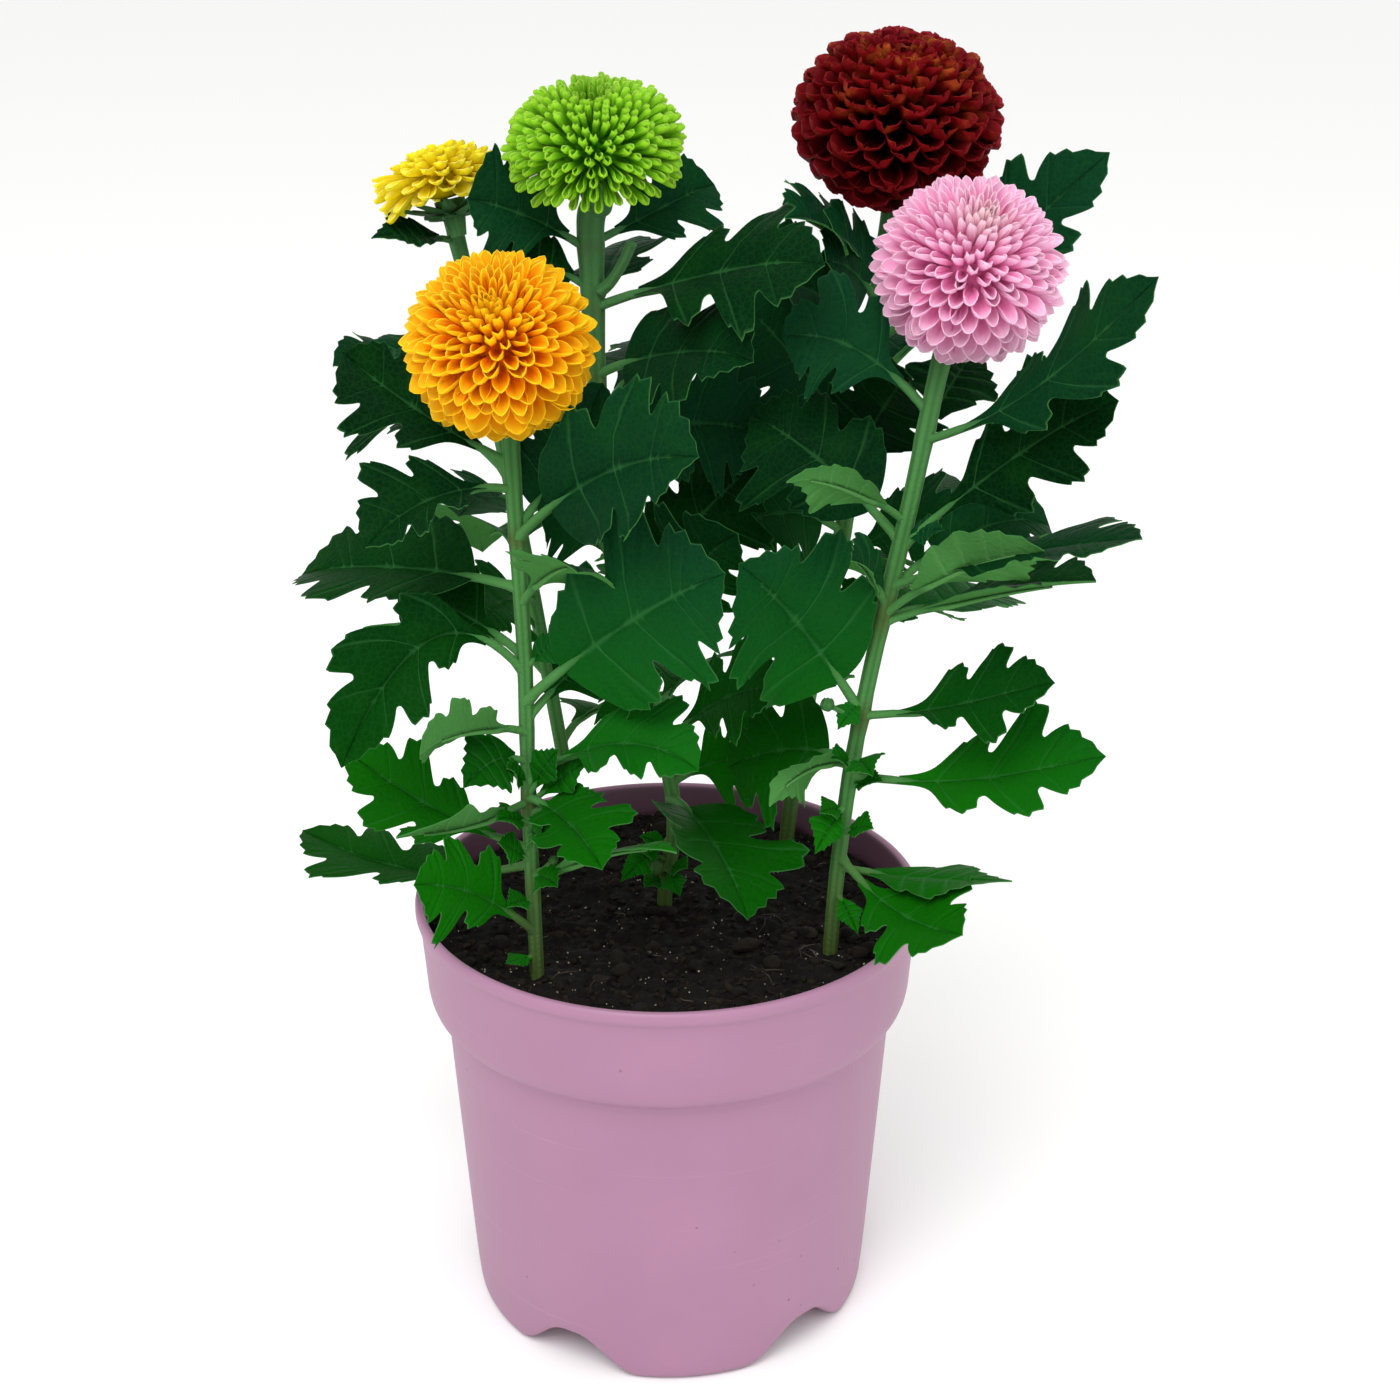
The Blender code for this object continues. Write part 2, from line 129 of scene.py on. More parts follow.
def draw_out(rings):
    """The selected edge is extruded through these radii and levels, and the last ring closed."""
    for (near, start), (far, end) in zip(rings, rings[1:]):
        bpy.ops.mesh.extrude_region_move(TRANSFORM_OT_translate={"value": (0, 0, (end - start) * MM)})
        bpy.ops.transform.resize(value=(far / near, far / near, 1), center_override=(0, 0, 0))
    bpy.ops.mesh.edge_face_add()


def points_of(piece):
    flat = np.empty(len(piece.data.vertices) * 3)
    piece.data.vertices.foreach_get("co", flat)
    return flat.reshape(-1, 3)


def move_points(piece, points):
    piece.data.vertices.foreach_set("co", np.asarray(points, dtype=np.float64).ravel())
    piece.data.update()


def mark(piece, **values):
    """A number at every point of the mesh, or one number for all, for the materials."""
    for name, value in values.items():
        layer = piece.data.attributes.get(name) or piece.data.attributes.new(name, "FLOAT", "POINT")
        layer.data.foreach_set("value", np.full(len(piece.data.vertices), value, dtype=np.float64))


def linear(code):
    """sRGB hex to the linear colour that a shader takes."""
    parts = [int(code[place:place + 2], 16) / 255 for place in (1, 3, 5)]
    return tuple(p / 12.92 if p <= 0.04045 else ((p + 0.055) / 1.055) ** 2.4 for p in parts) + (1.0,)


def start_material(name, **surface):
    """A Principled material with its even values set on the shader's own sockets."""
    material = bpy.data.materials.new(name)
    material.use_nodes = True
    shader = material.node_tree.nodes["Principled BSDF"]
    for socket, value in surface.items():
        shader.inputs[socket.replace("_", " ")].default_value = value
    return material, shader


def add_node(material, kind, sockets=(), take=None, **settings):
    """Adds one node and gives back one of its outputs, the first in use if none is named.
    A socket's value is a number, a colour or another node's output."""
    made = material.node_tree.nodes.new("ShaderNode" + kind)
    for name, value in settings.items():
        setattr(made, name, value)
    for socket, value in dict(sockets).items():
        if isinstance(value, bpy.types.NodeSocket):
            material.node_tree.links.new(value, made.inputs[socket])
        else:
            made.inputs[socket].default_value = value
    return made.outputs[take] if take else [out for out in made.outputs if out.enabled][0]


def finish_surface(material, shader, **outputs):
    """Joins the last outputs to the shader."""
    for socket, output in outputs.items():
        material.node_tree.links.new(output, shader.inputs[socket.replace("_", " ")])


def coat(piece, material, smooth_under):
    """The piece gets its one material, and smooth shading over edges under this angle."""
    piece.data.materials.clear()
    piece.data.materials.append(material)
    hold(piece)
    bpy.ops.object.shade_smooth_by_angle(angle=math.radians(smooth_under))


def turn_pot():
    """One ring is drawn out row by row up the wall, over the lip and down inside."""
    radius, level = POT_WALL[0]
    pot = start_piece("moulded_pot", bpy.ops.mesh.primitive_circle_add, vertices=POT_WALL_ROUND,
                      radius=radius * MM, location=(0, 0, level * MM))
    settle(pot)
    edit_mode()
    draw_out(POT_WALL)
    bpy.ops.object.mode_set(mode="OBJECT")
    return pot


def close_base(pot):
    """The underside of the base, from the inner edge of the feet to the axis."""
    edit_mode("DESELECT")
    bpy.ops.object.mode_set(mode="OBJECT")
    for edge in pot.data.edges:
        ends = [pot.data.vertices[place].co for place in edge.vertices]
        edge.select = all(abs(end.z) < 1e-6 and end.xy.length < RECESS_RADIUS * MM for end in ends)
    bpy.ops.object.mode_set(mode="EDIT")
    draw_out([(1, 0), (RECESS_TAPER, RECESS_HEIGHT)])
    face_outwards()


def lift_arches(pot):
    """Between the feet the foot ring rises in five arches with S-shaped flanks."""
    points = points_of(pot) / MM
    turn = np.degrees(np.arctan2(points[:, 0], -points[:, 1])) - FOOT_TURN
    step = 360 / POT_FEET
    off = np.abs((turn % step) - step / 2)
    part = np.clip((step / 2 - FOOT_HALF - off) / ARCH_FLANK, 0, 1)
    arch = ARCH_HEIGHT * (3 * part ** 2 - 2 * part ** 3)
    low = points[:, 2] < ARCH_REACH
    base = (points[:, 2] > RECESS_HEIGHT - 0.1) & (np.hypot(points[:, 0], points[:, 1]) < RECESS_RADIUS)
    points[:, 2] += np.where(low & ~base, arch * (1 - points[:, 2] / ARCH_REACH), 0.0)
    move_points(pot, points * MM)


def bore_drains(pot):
    """Five drain holes through the base."""
    cutters = []
    for number in range(POT_FEET):
        turn = math.radians(FOOT_TURN + number * 360 / POT_FEET)
        place = (DRAIN_PLACE * math.sin(turn) * MM, -DRAIN_PLACE * math.cos(turn) * MM, DRAIN_MIDDLE * MM)
        cutters.append(start_piece("drain", bpy.ops.mesh.primitive_cylinder_add, vertices=28,
                                   radius=DRAIN_RADIUS * MM, depth=DRAIN_DEPTH * MM, location=place))
    cutter = join(cutters)
    finish_with(pot, "BOOLEAN", operation="DIFFERENCE", object=cutter)
    bpy.data.objects.remove(cutter)


def lilac_polypropylene():
    """Moulded polypropylene: an even, slightly waxy pigmented plastic with a broad, weak
    highlight. Cloudy pigment about 30 mm across, specks under 0.5 mm, hair scratches, and a
    dark inner wall: painted shade there, mixed with a film of peat water."""
    material, shader = start_material("moulded_polypropylene", IOR=1.49)
    spot = add_node(material, "TexCoord", take="Object")
    clouds = add_node(material, "TexNoise", {"Vector": spot, "Scale": 32.0, "Detail": 3.0})
    stretched = add_node(material, "Mapping", {"Vector": spot, "Scale": (14, 14, 1100)})
    lines = add_node(material, "TexNoise", {"Vector": stretched, "Scale": 1.0, "Detail": 1.0})
    scratch = add_node(material, "MapRange", {
        "Value": lines, "From Min": 0.68, "From Max": 0.78, "To Max": 0.14})
    cells = add_node(material, "TexVoronoi", {"Vector": spot, "Scale": 150.0})
    dot = add_node(material, "MapRange", {
        "Value": cells, "From Min": 0.045, "From Max": 0.075, "To Min": 1.0, "To Max": 0.0})
    sparse = add_node(material, "MapRange", {"Value": clouds, "From Min": 0.52, "From Max": 0.60})
    speck = add_node(material, "Math", {0: dot, 1: sparse}, operation="MULTIPLY")
    # The darkening of the inner wall is painted shade, mixed with a film of peat water.
    damp = add_node(material, "Attribute", take="Fac", attribute_name="damp")
    colour = linear("#966A86")
    for share, code in ((clouds, "#A37692"), (scratch, "#BE93AD"), (speck, "#6F4C66"), (damp, "#5A3A4C")):
        colour = add_node(material, "Mix", {
            SHARE: share, BASE: colour, TOP: linear(code)}, data_type="RGBA")
    rough = add_node(material, "MapRange", {"Value": clouds, "To Min": 0.40, "To Max": 0.54})
    fine = add_node(material, "TexNoise", {"Vector": spot, "Scale": 900.0, "Detail": 2.0})
    bump = add_node(material, "Bump", {"Height": fine, "Strength": 0.06, "Distance": 0.0004})
    finish_surface(material, shader, Base_Color=colour, Roughness=rough, Normal=bump)
    return material


moulded_pot = turn_pot()
close_base(moulded_pot)
lift_arches(moulded_pot)
bore_drains(moulded_pot)
# The inner wall between the soil and the lip is marked for painted shade, mixed with a film of peat water.
wall = points_of(moulded_pot) / MM
reach = np.hypot(wall[:, 0], wall[:, 1])
inner_wall = reach < 61.6 + (wall[:, 2] - 91) * 0.07
mark(moulded_pot, damp=(wall[:, 2] > 88) & (wall[:, 2] < 115.2) & inner_wall)
coat(moulded_pot, lilac_polypropylene(), 38)
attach(moulded_pot, "root")
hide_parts("pot")

# Soil: one root ball of dark moist peat, filled in to 8 mm under the lip. Its top is
# crumbs and short fibres with a few pale grains of sand, pressed lightly by hand.
SOIL_TOP_RADIUS = 61.75
SOIL_SIDE = [(61.75, 106.4), (60.95, 91.9), (60.1, 89.5), (56.8, 86.9), (56.25, 85.3),
             (50.7, 16.6), (50.1, 14.6), (48.9, 13.4)]
SOIL_LEVEL = 107.5
SOIL_GRID = 150
PEAT_LUMPS = [("CLOUDS", 14.0, 2.6), ("CLOUDS", 5.0, 2.2), ("VORONOI", 3.2, 1.5), ("CLOUDS", 1.6, 1.0)]
STEM_FEET = [(-32, -32), (-1, 5), (41, -20), (32, 40), (-26, 40)]
STEM_CLEAR = 3.0
WALL_CLEAR = 0.4
CRUMB_SPREAD = 1.25
ABOVE_THE_RIM = 130.0


def lay_soil():
    """A grid pulled round into a disc, with the sides of the root ball drawn down from it."""
    soil = start_piece("peat_root_ball", bpy.ops.mesh.primitive_grid_add,
                       x_subdivisions=SOIL_GRID, y_subdivisions=SOIL_GRID, size=2)
    flat = points_of(soil)
    x, y = flat[:, 0].copy(), flat[:, 1].copy()
    flat[:, 0] = x * np.sqrt(1 - y * y / 2) * SOIL_TOP_RADIUS * MM
    flat[:, 1] = y * np.sqrt(1 - x * x / 2) * SOIL_TOP_RADIUS * MM
    flat[:, 2] = SOIL_LEVEL * MM
    move_points(soil, flat)
    for kind, size, strength in PEAT_LUMPS:
        grain = bpy.data.textures.new("peat_lump", kind)
        grain.noise_scale = size * MM
        finish_with(soil, "DISPLACE", texture=grain, texture_coords="LOCAL", direction="Z",
                    strength=strength * MM, mid_level=0.5)
    flat = points_of(soil)
    edge = np.hypot(flat[:, 0], flat[:, 1]) / (SOIL_TOP_RADIUS * MM)
    down = np.clip((edge - 0.93) / 0.07, 0, 1)
    flat[:, 2] = flat[:, 2] * (1 - down) + SOIL_SIDE[0][1] * MM * down + 0.6 * MM * down * (1 - down) * 4
    move_points(soil, flat)
    hold(soil)
    edit_mode("DESELECT")
    bpy.ops.mesh.select_mode(type="EDGE")
    bpy.ops.mesh.select_non_manifold()
    draw_out(SOIL_SIDE)
    face_outwards()
    return soil


def height_of(surface, x, y):
    """Height of the top surface over a place of the soil, in metres."""
    spot = surface.ray_cast(Vector((x, y, ABOVE_THE_RIM * MM)), Vector((0, 0, -1)))[0]
    return spot.z if spot else SOIL_LEVEL * MM


def copy_of(blank):
    made = blank.copy()
    made.data = blank.data.copy()
    bpy.context.collection.objects.link(made)
    return made


def turned(form, angle, one, other):
    """The points turned by an angle in the plane of two of their axes."""
    made = form.copy()
    made[:, one] = form[:, one] * math.cos(angle) - form[:, other] * math.sin(angle)
    made[:, other] = form[:, one] * math.sin(angle) + form[:, other] * math.cos(angle)
    return made


def scatter(blank, count, sizes, flatness, sunk, tone, seed, soil):
    """Copies of one crumb, each knocked out of shape, laid on the soil clear of stems and wall."""
    draw = random.Random(seed)
    shape = points_of(blank)
    laid = []
    for _ in range(count):
        reach, turn = math.sqrt(draw.random()) * (SOIL_TOP_RADIUS - 1.2) * MM, draw.random() * math.tau
        x, y = reach * math.cos(turn), reach * math.sin(turn)
        if min(math.hypot(x - a * MM, y - b * MM) for a, b in STEM_FEET) < STEM_CLEAR * MM:
            continue
        size = draw.uniform(*sizes) * MM
        stretch = np.array([draw.uniform(0.7, 1.5), draw.uniform(0.6, 1.1), draw.uniform(*flatness)])
        farthest = (SOIL_TOP_RADIUS - WALL_CLEAR) * MM - CRUMB_SPREAD * size * max(stretch)
        inward = min(1.0, farthest / math.hypot(x, y))
        x, y = x * inward, y * inward
        knocks = np.array([[draw.uniform(-2.5, 2.5) for _ in range(3)] for _ in range(3)])
        form = shape * (1 + 0.22 * np.sin(shape @ knocks.T).sum(axis=1, keepdims=True))
        spin = draw.random() * math.tau
        tilt = draw.uniform(-0.5, 0.5)
        form = turned(turned(form * stretch * size, tilt, 1, 2), spin, 0, 1)
        crumb = copy_of(blank)
        move_points(crumb, form + (x, y, height_of(soil, x, y) + sunk * size))
        mark(crumb, tone=draw.uniform(*tone))
        laid.append(crumb)
    return join(laid)


def cut_across(places, normal):
    """Cuts the whole mesh at these places along an axis."""
    edit_mode()
    for place in places:
        bpy.ops.mesh.select_all(action="SELECT")
        bpy.ops.mesh.bisect(plane_co=[place * part for part in normal], plane_no=normal)
    bpy.ops.object.mode_set(mode="OBJECT")


def fibre(start, turn, length, bow, thick, soil, tone):
    """One short strand of peat moss fibre that lies over the crumbs."""
    strand = start_piece("peat_fibre", bpy.ops.mesh.primitive_cylinder_add,
                         vertices=3, radius=1, depth=1, end_fill_type="NGON")
    cut_across((0.17, -0.17), (0, 0, 1))
    form = points_of(strand)
    along = form[:, 2] + 0.5
    straight = (along - 0.5) * length
    bowed = bow * 4 * along * (1 - along)
    x = start[0] + (np.cos(turn) * straight - np.sin(turn) * bowed) * MM
    y = start[1] + (np.sin(turn) * straight + np.cos(turn) * bowed) * MM
    level = np.array([height_of(soil, a, b) for a, b in zip(x, y)])
    z = level + (0.35 + 1.1 * along * (1 - along)) * MM
    spread = thick * MM * (1 - 0.6 * np.abs(2 * along - 1))
    move_points(strand, np.stack([
        x - np.sin(turn) * form[:, 0] * spread, y + np.cos(turn) * form[:, 0] * spread,
        z + form[:, 1] * spread], axis=1))
    mark(strand, tone=tone)
    return strand


def moist_peat():
    """Moist milled peat: nearly black brown, crumbly down to about 0.5 mm, with paler dry crumbs
    and a faint wet gloss. The tone mark lightens single crumbs, fibres and sand grains."""
    material, shader = start_material("moist_peat", Specular_IOR_Level=0.15)
    spot = add_node(material, "TexCoord", take="Object")
    grain = add_node(material, "TexNoise", {
        "Vector": spot, "Scale": 420.0, "Detail": 6.0, "Roughness": 0.7})
    tone = add_node(material, "Attribute", take="Fac", attribute_name="tone")
    dark = add_node(material, "ValToRGB", {"Fac": grain})
    pale = add_node(material, "ValToRGB", {"Fac": tone})
    pale.node.color_ramp.elements.new(0.5)
    for ramp, stops in ((dark, ((0.36, "#030302"), (0.72, "#17120D"))),
                        (pale, ((0.0, "#0A0806"), (0.5, "#362A20"), (1.0, "#C9C4B2")))):
        for stop, (place, code) in zip(ramp.node.color_ramp.elements, stops):
            stop.position = place
            stop.color = linear(code)
    some = add_node(material, "Math", {0: tone, 1: 0.02}, operation="GREATER_THAN")
    colour = add_node(material, "Mix", {SHARE: some, BASE: dark, TOP: pale}, data_type="RGBA")
    shaded = add_node(material, "Mix", {SHARE: 0.55, BASE: colour, TOP: dark}, data_type="RGBA")
    kept = add_node(material, "Mix", {SHARE: tone, BASE: shaded, TOP: colour}, data_type="RGBA")
    rough = add_node(material, "MapRange", {
        "Value": grain, "From Min": 0.3, "From Max": 0.7, "To Min": 0.62, "To Max": 0.95})
    bump = add_node(material, "Bump", {"Height": grain, "Strength": 0.8, "Distance": 0.0009})
    finish_surface(material, shader, Base_Color=kept, Roughness=rough, Normal=bump)
    return material


peat_ball = lay_soil()
mark(peat_ball, tone=0.0)
peat_top = BVHTree.FromPolygons([spot.co for spot in peat_ball.data.vertices],
                                [tuple(face.vertices) for face in peat_ball.data.polygons])
small_crumb = start_piece("small_crumb", bpy.ops.mesh.primitive_ico_sphere_add, subdivisions=1, radius=1)
large_crumb = start_piece("large_crumb", bpy.ops.mesh.primitive_ico_sphere_add, subdivisions=2, radius=1)
crumbs = scatter(small_crumb, 1500, (0.35, 1.15), (0.5, 1.0), 0.15, (0.03, 0.34), 3, peat_top)
clods = scatter(large_crumb, 130, (1.2, 2.5), (0.5, 0.8), 0.0, (0.03, 0.30), 4, peat_top)
sand = scatter(small_crumb, 420, (0.12, 0.30), (0.7, 1.1), 0.7, (0.55, 1.0), 5, peat_top)
strands = []
draw = random.Random(6)
for _ in range(150):
    reach, turn = math.sqrt(draw.random()) * 56 * MM, draw.random() * math.tau
    strands.append(fibre(
        (reach * math.cos(turn), reach * math.sin(turn)), draw.random() * math.tau,
        draw.uniform(3, 11), draw.uniform(-2.2, 2.2), draw.uniform(0.10, 0.22), peat_top,
        draw.uniform(0.25, 0.62)))
bpy.data.objects.remove(small_crumb)
bpy.data.objects.remove(large_crumb)
peat_ball = join([peat_ball, crumbs, clods, sand] + strands)
coat(peat_ball, moist_peat(), 50)
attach(peat_ball, "root")
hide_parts("soil")

# Leafy stems: five rooted cuttings, each a ribbed stem that is woody brown at the foot and
# sappy green above, with lobed leaves set round it on stalks, small side shoots in their
# corners, and a calyx of green bracts that carries the flower head.
STEMS = {
    "orange": [((-32, -32, 74), 1.65), ((-32, -32, 110), 1.7), ((-33, -28, 153), 1.7),
               ((-33, -27, 189), 1.75), ((-34, -26, 219), 1.8), ((-35, -22, 241), 2.0),
               ((-35, -20, 250), 2.4)],
    "green": [((-1, 5, 74), 1.75), ((-1, 5, 110), 1.8), ((1, 6, 140), 1.8),
              ((-13, 4, 208), 1.85), ((-16, 3, 244), 2.0), ((-17, 3, 275), 2.7),
              ((-17, 4, 287), 3.1)],
    "pink": [((41, -20, 74), 1.75), ((41, -20, 110), 1.8), ((44, -19, 149), 1.85),
             ((49, -20, 184), 1.9), ((57, -20, 226), 2.0), ((62, -16, 252), 2.15),
             ((65, -11, 263), 2.4)],
    "red": [((32, 40, 74), 1.9), ((32, 40, 110), 1.95), ((38, 38, 158), 2.0),
            ((44, 36, 192), 2.1), ((50, 34, 241), 2.2), ((53, 34, 268), 2.3),
            ((55, 34, 284), 2.5)],
    "yellow": [((-26, 40, 74), 1.7), ((-26, 40, 110), 1.75), ((-32, 38, 158), 1.8),
               ((-39, 36, 205), 1.85), ((-47, 33, 255), 1.9), ((-51, 30, 277), 2.0),
               ((-52, 29, 283), 2.1)],
}
# height on the stem, tip, rise of the middle, width, (turn to the seen side, lean to +X)
LEAVES = {
    "orange": [
        (137, (-100, 34, 116), -7, 25, (24, -8)),
        (119, (-57, -62, 148), 4, 26, (50, 0)),
        (141, (-78, -16, 161), -3, 25, (45, 0)),
        (153, (-62, -52, 156), -2, 24, (-50, 0)),
        (186, (-74, -48, 171), 20, 27, (60, -12)),
        (207, (-90, 2, 201), 3, 38, (35, 0)),
        (230, (-66, -48, 225), 5, 25, (45, -30)),
        (190, (-66, -4, 196), 4, 32, (50, -5)),
        (236, (-75, -4, 257), -2, 30, (35, -10)),
        (203, (-18, -50, 221), 3, 28, (-60, 0)),
        (221, (-14, -16, 253), -2, 34, (60, 10)),
        (219, (8, -58, 248), 6, 38, (60, 10)),
        (179, (14, -52, 220), 3, 46, (80, 0)),
        (158, (8, -50, 172), 8, 26, (25, 0)),
        (171, (-56, -52, 177), 3, 25, (-55, 0)),
        (154, (-14, -62, 153), 3, 26, (60, 20)),
        (131, (3, -52, 152), 4, 20, (-40, 0)),
        (174, (-8, -18, 192), 3, 30, (60, 0)),
        (163, (-47, -42, 163), 4, 18, (50, 0)),
    ],
    "green": [
        (266, (35, -26, 284), 2, 40, (30, 10)),
        (250, (19, -30, 263), 3, 34, (50, 0)),
        (279, (-45, 0, 292), 2, 32, (50, 0)),
        (281, (12, 24, 292), 0, 28, (40, 20)),
        (232, (24, 2, 236), 4, 36, (60, 0)),
        (202, (-31, -8, 221), 3, 32, (60, 0)),
        (138, (20, -46, 132), 5, 38, (50, 20)),
        (152, (27, -22, 180), 5, 28, (40, 0)),
        (190, (22, 5, 228), 3, 34, (60, 0)),
        (178, (16, -15, 216), 4, 32, (65, 0)),
        (152, (-16, -2, 176), 3, 28, (60, 0)),
        (142, (27, 2, 151), 3, 30, (55, 0)),
        (270, (-41, 2, 280), 2, 20, (50, 0)),
        (180, (0, 72, 178), 8, 40, (-30, 0)),
        (238, (5, 62, 246), 6, 38, (-30, 0)),
        (160, (10, 54, 156), 5, 30, (-20, 0)),
        (262, (-10, 46, 273), 4, 28, (-25, 0)),
    ],
    "pink": [
        (134, (68, -62, 136), -5, 32, (32, 0)),
        (131, (81, -50, 143), -1, 20, (8, 0)),
        (156, (100, -48, 175), -4, 31, (32, 0)),
        (172, (88, -45, 192), -2, 25, (22, 0)),
        (198, (84, -60, 228), 4, 22, (-50, 0)),
        (204, (92, -10, 218), 6, 32, (35, 0)),
        (196, (91, 20, 186), 4, 24, (20, 0)),
        (196, (98, -38, 213), 2, 26, (-20, 0)),
        (205, (100, -76, 236), 2, 26, (20, 0)),
        (214, (99, -40, 256), 3, 32, (45, 0)),
        (240, (101, -64, 288), -6, 25, (45, 0)),
        (246, (27, -12, 263), 6, 32, (60, -10)),
        (240, (74, 12, 253), 2, 22, (60, 0)),
        (200, (42, -44, 220), 3, 16, (50, 0)),
        (216, (20, -9, 244), 3, 36, (65, 0)),
        (172, (18, -32, 214), 3, 44, (75, 0)),
        (221, (27, -40, 238), 3, 16, (-50, 0)),
        (160, (15, -6, 152), 4, 34, (50, 0)),
        (158, (24, -34, 155), 5, 20, (-55, 0)),
    ],
    "red": [
        (250, (25, 14, 270), 4, 32, (50, 0)),
        (266, (29, 10, 287), 3, 30, (40, -10)),
        (222, (19, 24, 262), 3, 38, (60, 0)),
        (205, (92, 56, 200), 4, 38, (-20, 10)),
        (178, (54, 75, 174), 12, 40, (-30, 0)),
        (235, (78, 73, 242), 8, 38, (-30, 10)),
        (250, (102, 10, 301), -3, 27, (40, 10)),
        (236, (92, 16, 282), 4, 26, (30, 0)),
        (260, (38, 12, 275), 3, 34, (55, 0)),
        (216, (58, 4, 250), 3, 34, (60, 0)),
        (200, (16, 12, 208), 5, 36, (55, 0)),
        (165, (74, 70, 168), 8, 36, (-10, 10)),
        (190, (72, 12, 212), 4, 28, (45, 0)),
        (256, (66, 70, 264), 5, 28, (-25, 10)),
        (142, (34, 72, 138), 8, 32, (-25, 0)),
    ],
    "yellow": [
        (232, (-81, 18, 250), 5, 28, (20, 0)),
        (255, (-76, 6, 252), 0, 12, (30, -20)),
        (276, (-69, 12, 281), 1, 14, (30, 0)),
        (185, (-52, 75, 182), 10, 40, (-30, 0)),
        (160, (-88, 68, 152), 12, 40, (-20, -20)),
        (215, (-82, 70, 220), 8, 38, (-25, -20)),
        (208, (-50, -2, 216), 3, 32, (60, 0)),
        (180, (-47, 2, 188), 3, 30, (60, 0)),
        (138, (-10, 74, 126), 10, 34, (-30, 0)),
    ],
}
# Small leaves of the side shoots, in the corners between leaf and stem
SHOOTS = {
    "orange": [(127, (-38, -40, 131), 1, 7, (30, 0)), (134, (-26, -41, 137), 1, 10, (50, 0)),
               (137, (-40, -36, 146), 1, 8, (30, 0)), (113, (-39, -39, 115), 0, 6, (30, 0)),
               (150, (-14, -44, 161), 1, 11, (40, 0)), (152, (-17, -36, 168), 1, 9, (50, 0)),
               (154, (-25, -38, 171), 1, 9, (60, 0)), (156, (-37, -37, 166), 1, 8, (45, 0)),
               (148, (-21, -46, 152), 1, 12, (50, 0)), (147, (-40, -38, 153), 1, 9, (40, 0)),
               (144, (-30, -42, 150), 1, 9, (60, 0)), (187, (-24, -32, 196), 1, 8, (50, 0))],
    "green": [(120, (-9, -2, 127), 1, 7, (30, 0)), (117, (5, -4, 123), 1, 7, (40, 0)),
              (122, (-7, -2, 131), 1, 6, (50, 0)), (114, (-6, -3, 117), 1, 6, (50, 0)),
              (126, (-12, -6, 120), 1, 8, (40, 0)), (118, (3, -8, 117), 1, 7, (50, 0))],
    "pink": [(140, (50, -28, 146), 1, 8, (40, 0)), (146, (37, -28, 150), 1, 7, (40, 0)),
             (158, (40, -27, 164), 1, 8, (50, 0)), (160, (49, -34, 163), 1, 10, (30, 0)),
             (148, (36, -30, 140), 1, 9, (40, 0)), (124, (47, -30, 118), 1, 7, (40, 0)),
             (152, (52, -27, 158), 1, 7, (40, 0)), (176, (41, -26, 171), 1, 7, (50, 0)),
             (216, (64, -28, 222), 1, 8, (50, 0))],
    "red": [(214, (52, 26, 222), 1, 8, (40, 0)), (224, (42, 26, 231), 1, 9, (50, 0))],
    "yellow": [(236, (-50, 24, 243), 1, 7, (40, 0)), (262, (-44, 26, 270), 1, 8, (40, 0))],
}
# where the blade starts and its midrib ends, as parts of the whole leaf
STALK_PART = 0.20
MIDRIB_END = 0.80
SMALL_WIDTH = 25
BROAD_WIDTH = 33
ROD_SIDES = 24
BLADE_LONG, BLADE_WIDE, BLADE_THICK = 60.0, 36.0, 0.24
# place on the midrib, place of the edge, half width, mark of a side vein
BROAD_OUTLINE = [
    (0.000, 0.000, 0.040, 0), (0.030, 0.020, 0.090, 0), (0.058, 0.055, 0.165, 0),
    (0.085, 0.105, 0.240, 0), (0.105, 0.160, 0.305, 0.4), (0.125, 0.200, 0.322, 0),
    (0.148, 0.275, 0.388, 0.5), (0.172, 0.298, 0.362, 0), (0.200, 0.372, 0.425, 1),
    (0.228, 0.390, 0.376, 0), (0.256, 0.436, 0.362, 0.5), (0.290, 0.436, 0.292, 0),
    (0.334, 0.442, 0.244, 0), (0.372, 0.462, 0.246, 0), (0.388, 0.494, 0.300, 0),
    (0.402, 0.530, 0.375, 0), (0.414, 0.574, 0.446, 0.5), (0.426, 0.594, 0.436, 0),
    (0.440, 0.668, 0.500, 1), (0.456, 0.684, 0.456, 0), (0.474, 0.742, 0.456, 0.6),
    (0.500, 0.738, 0.384, 0), (0.532, 0.732, 0.316, 0), (0.572, 0.730, 0.252, 0),
    (0.640, 0.746, 0.240, 0), (0.662, 0.784, 0.282, 0), (0.682, 0.836, 0.326, 0.8),
    (0.704, 0.842, 0.272, 0), (0.728, 0.892, 0.264, 0.7), (0.756, 0.892, 0.194, 0),
    (0.796, 0.940, 0.170, 0.6), (0.840, 0.944, 0.108, 0), (0.892, 0.978, 0.068, 0.4),
    (0.940, 0.986, 0.030, 0), (1.000, 1.000, 0.004, 0)]
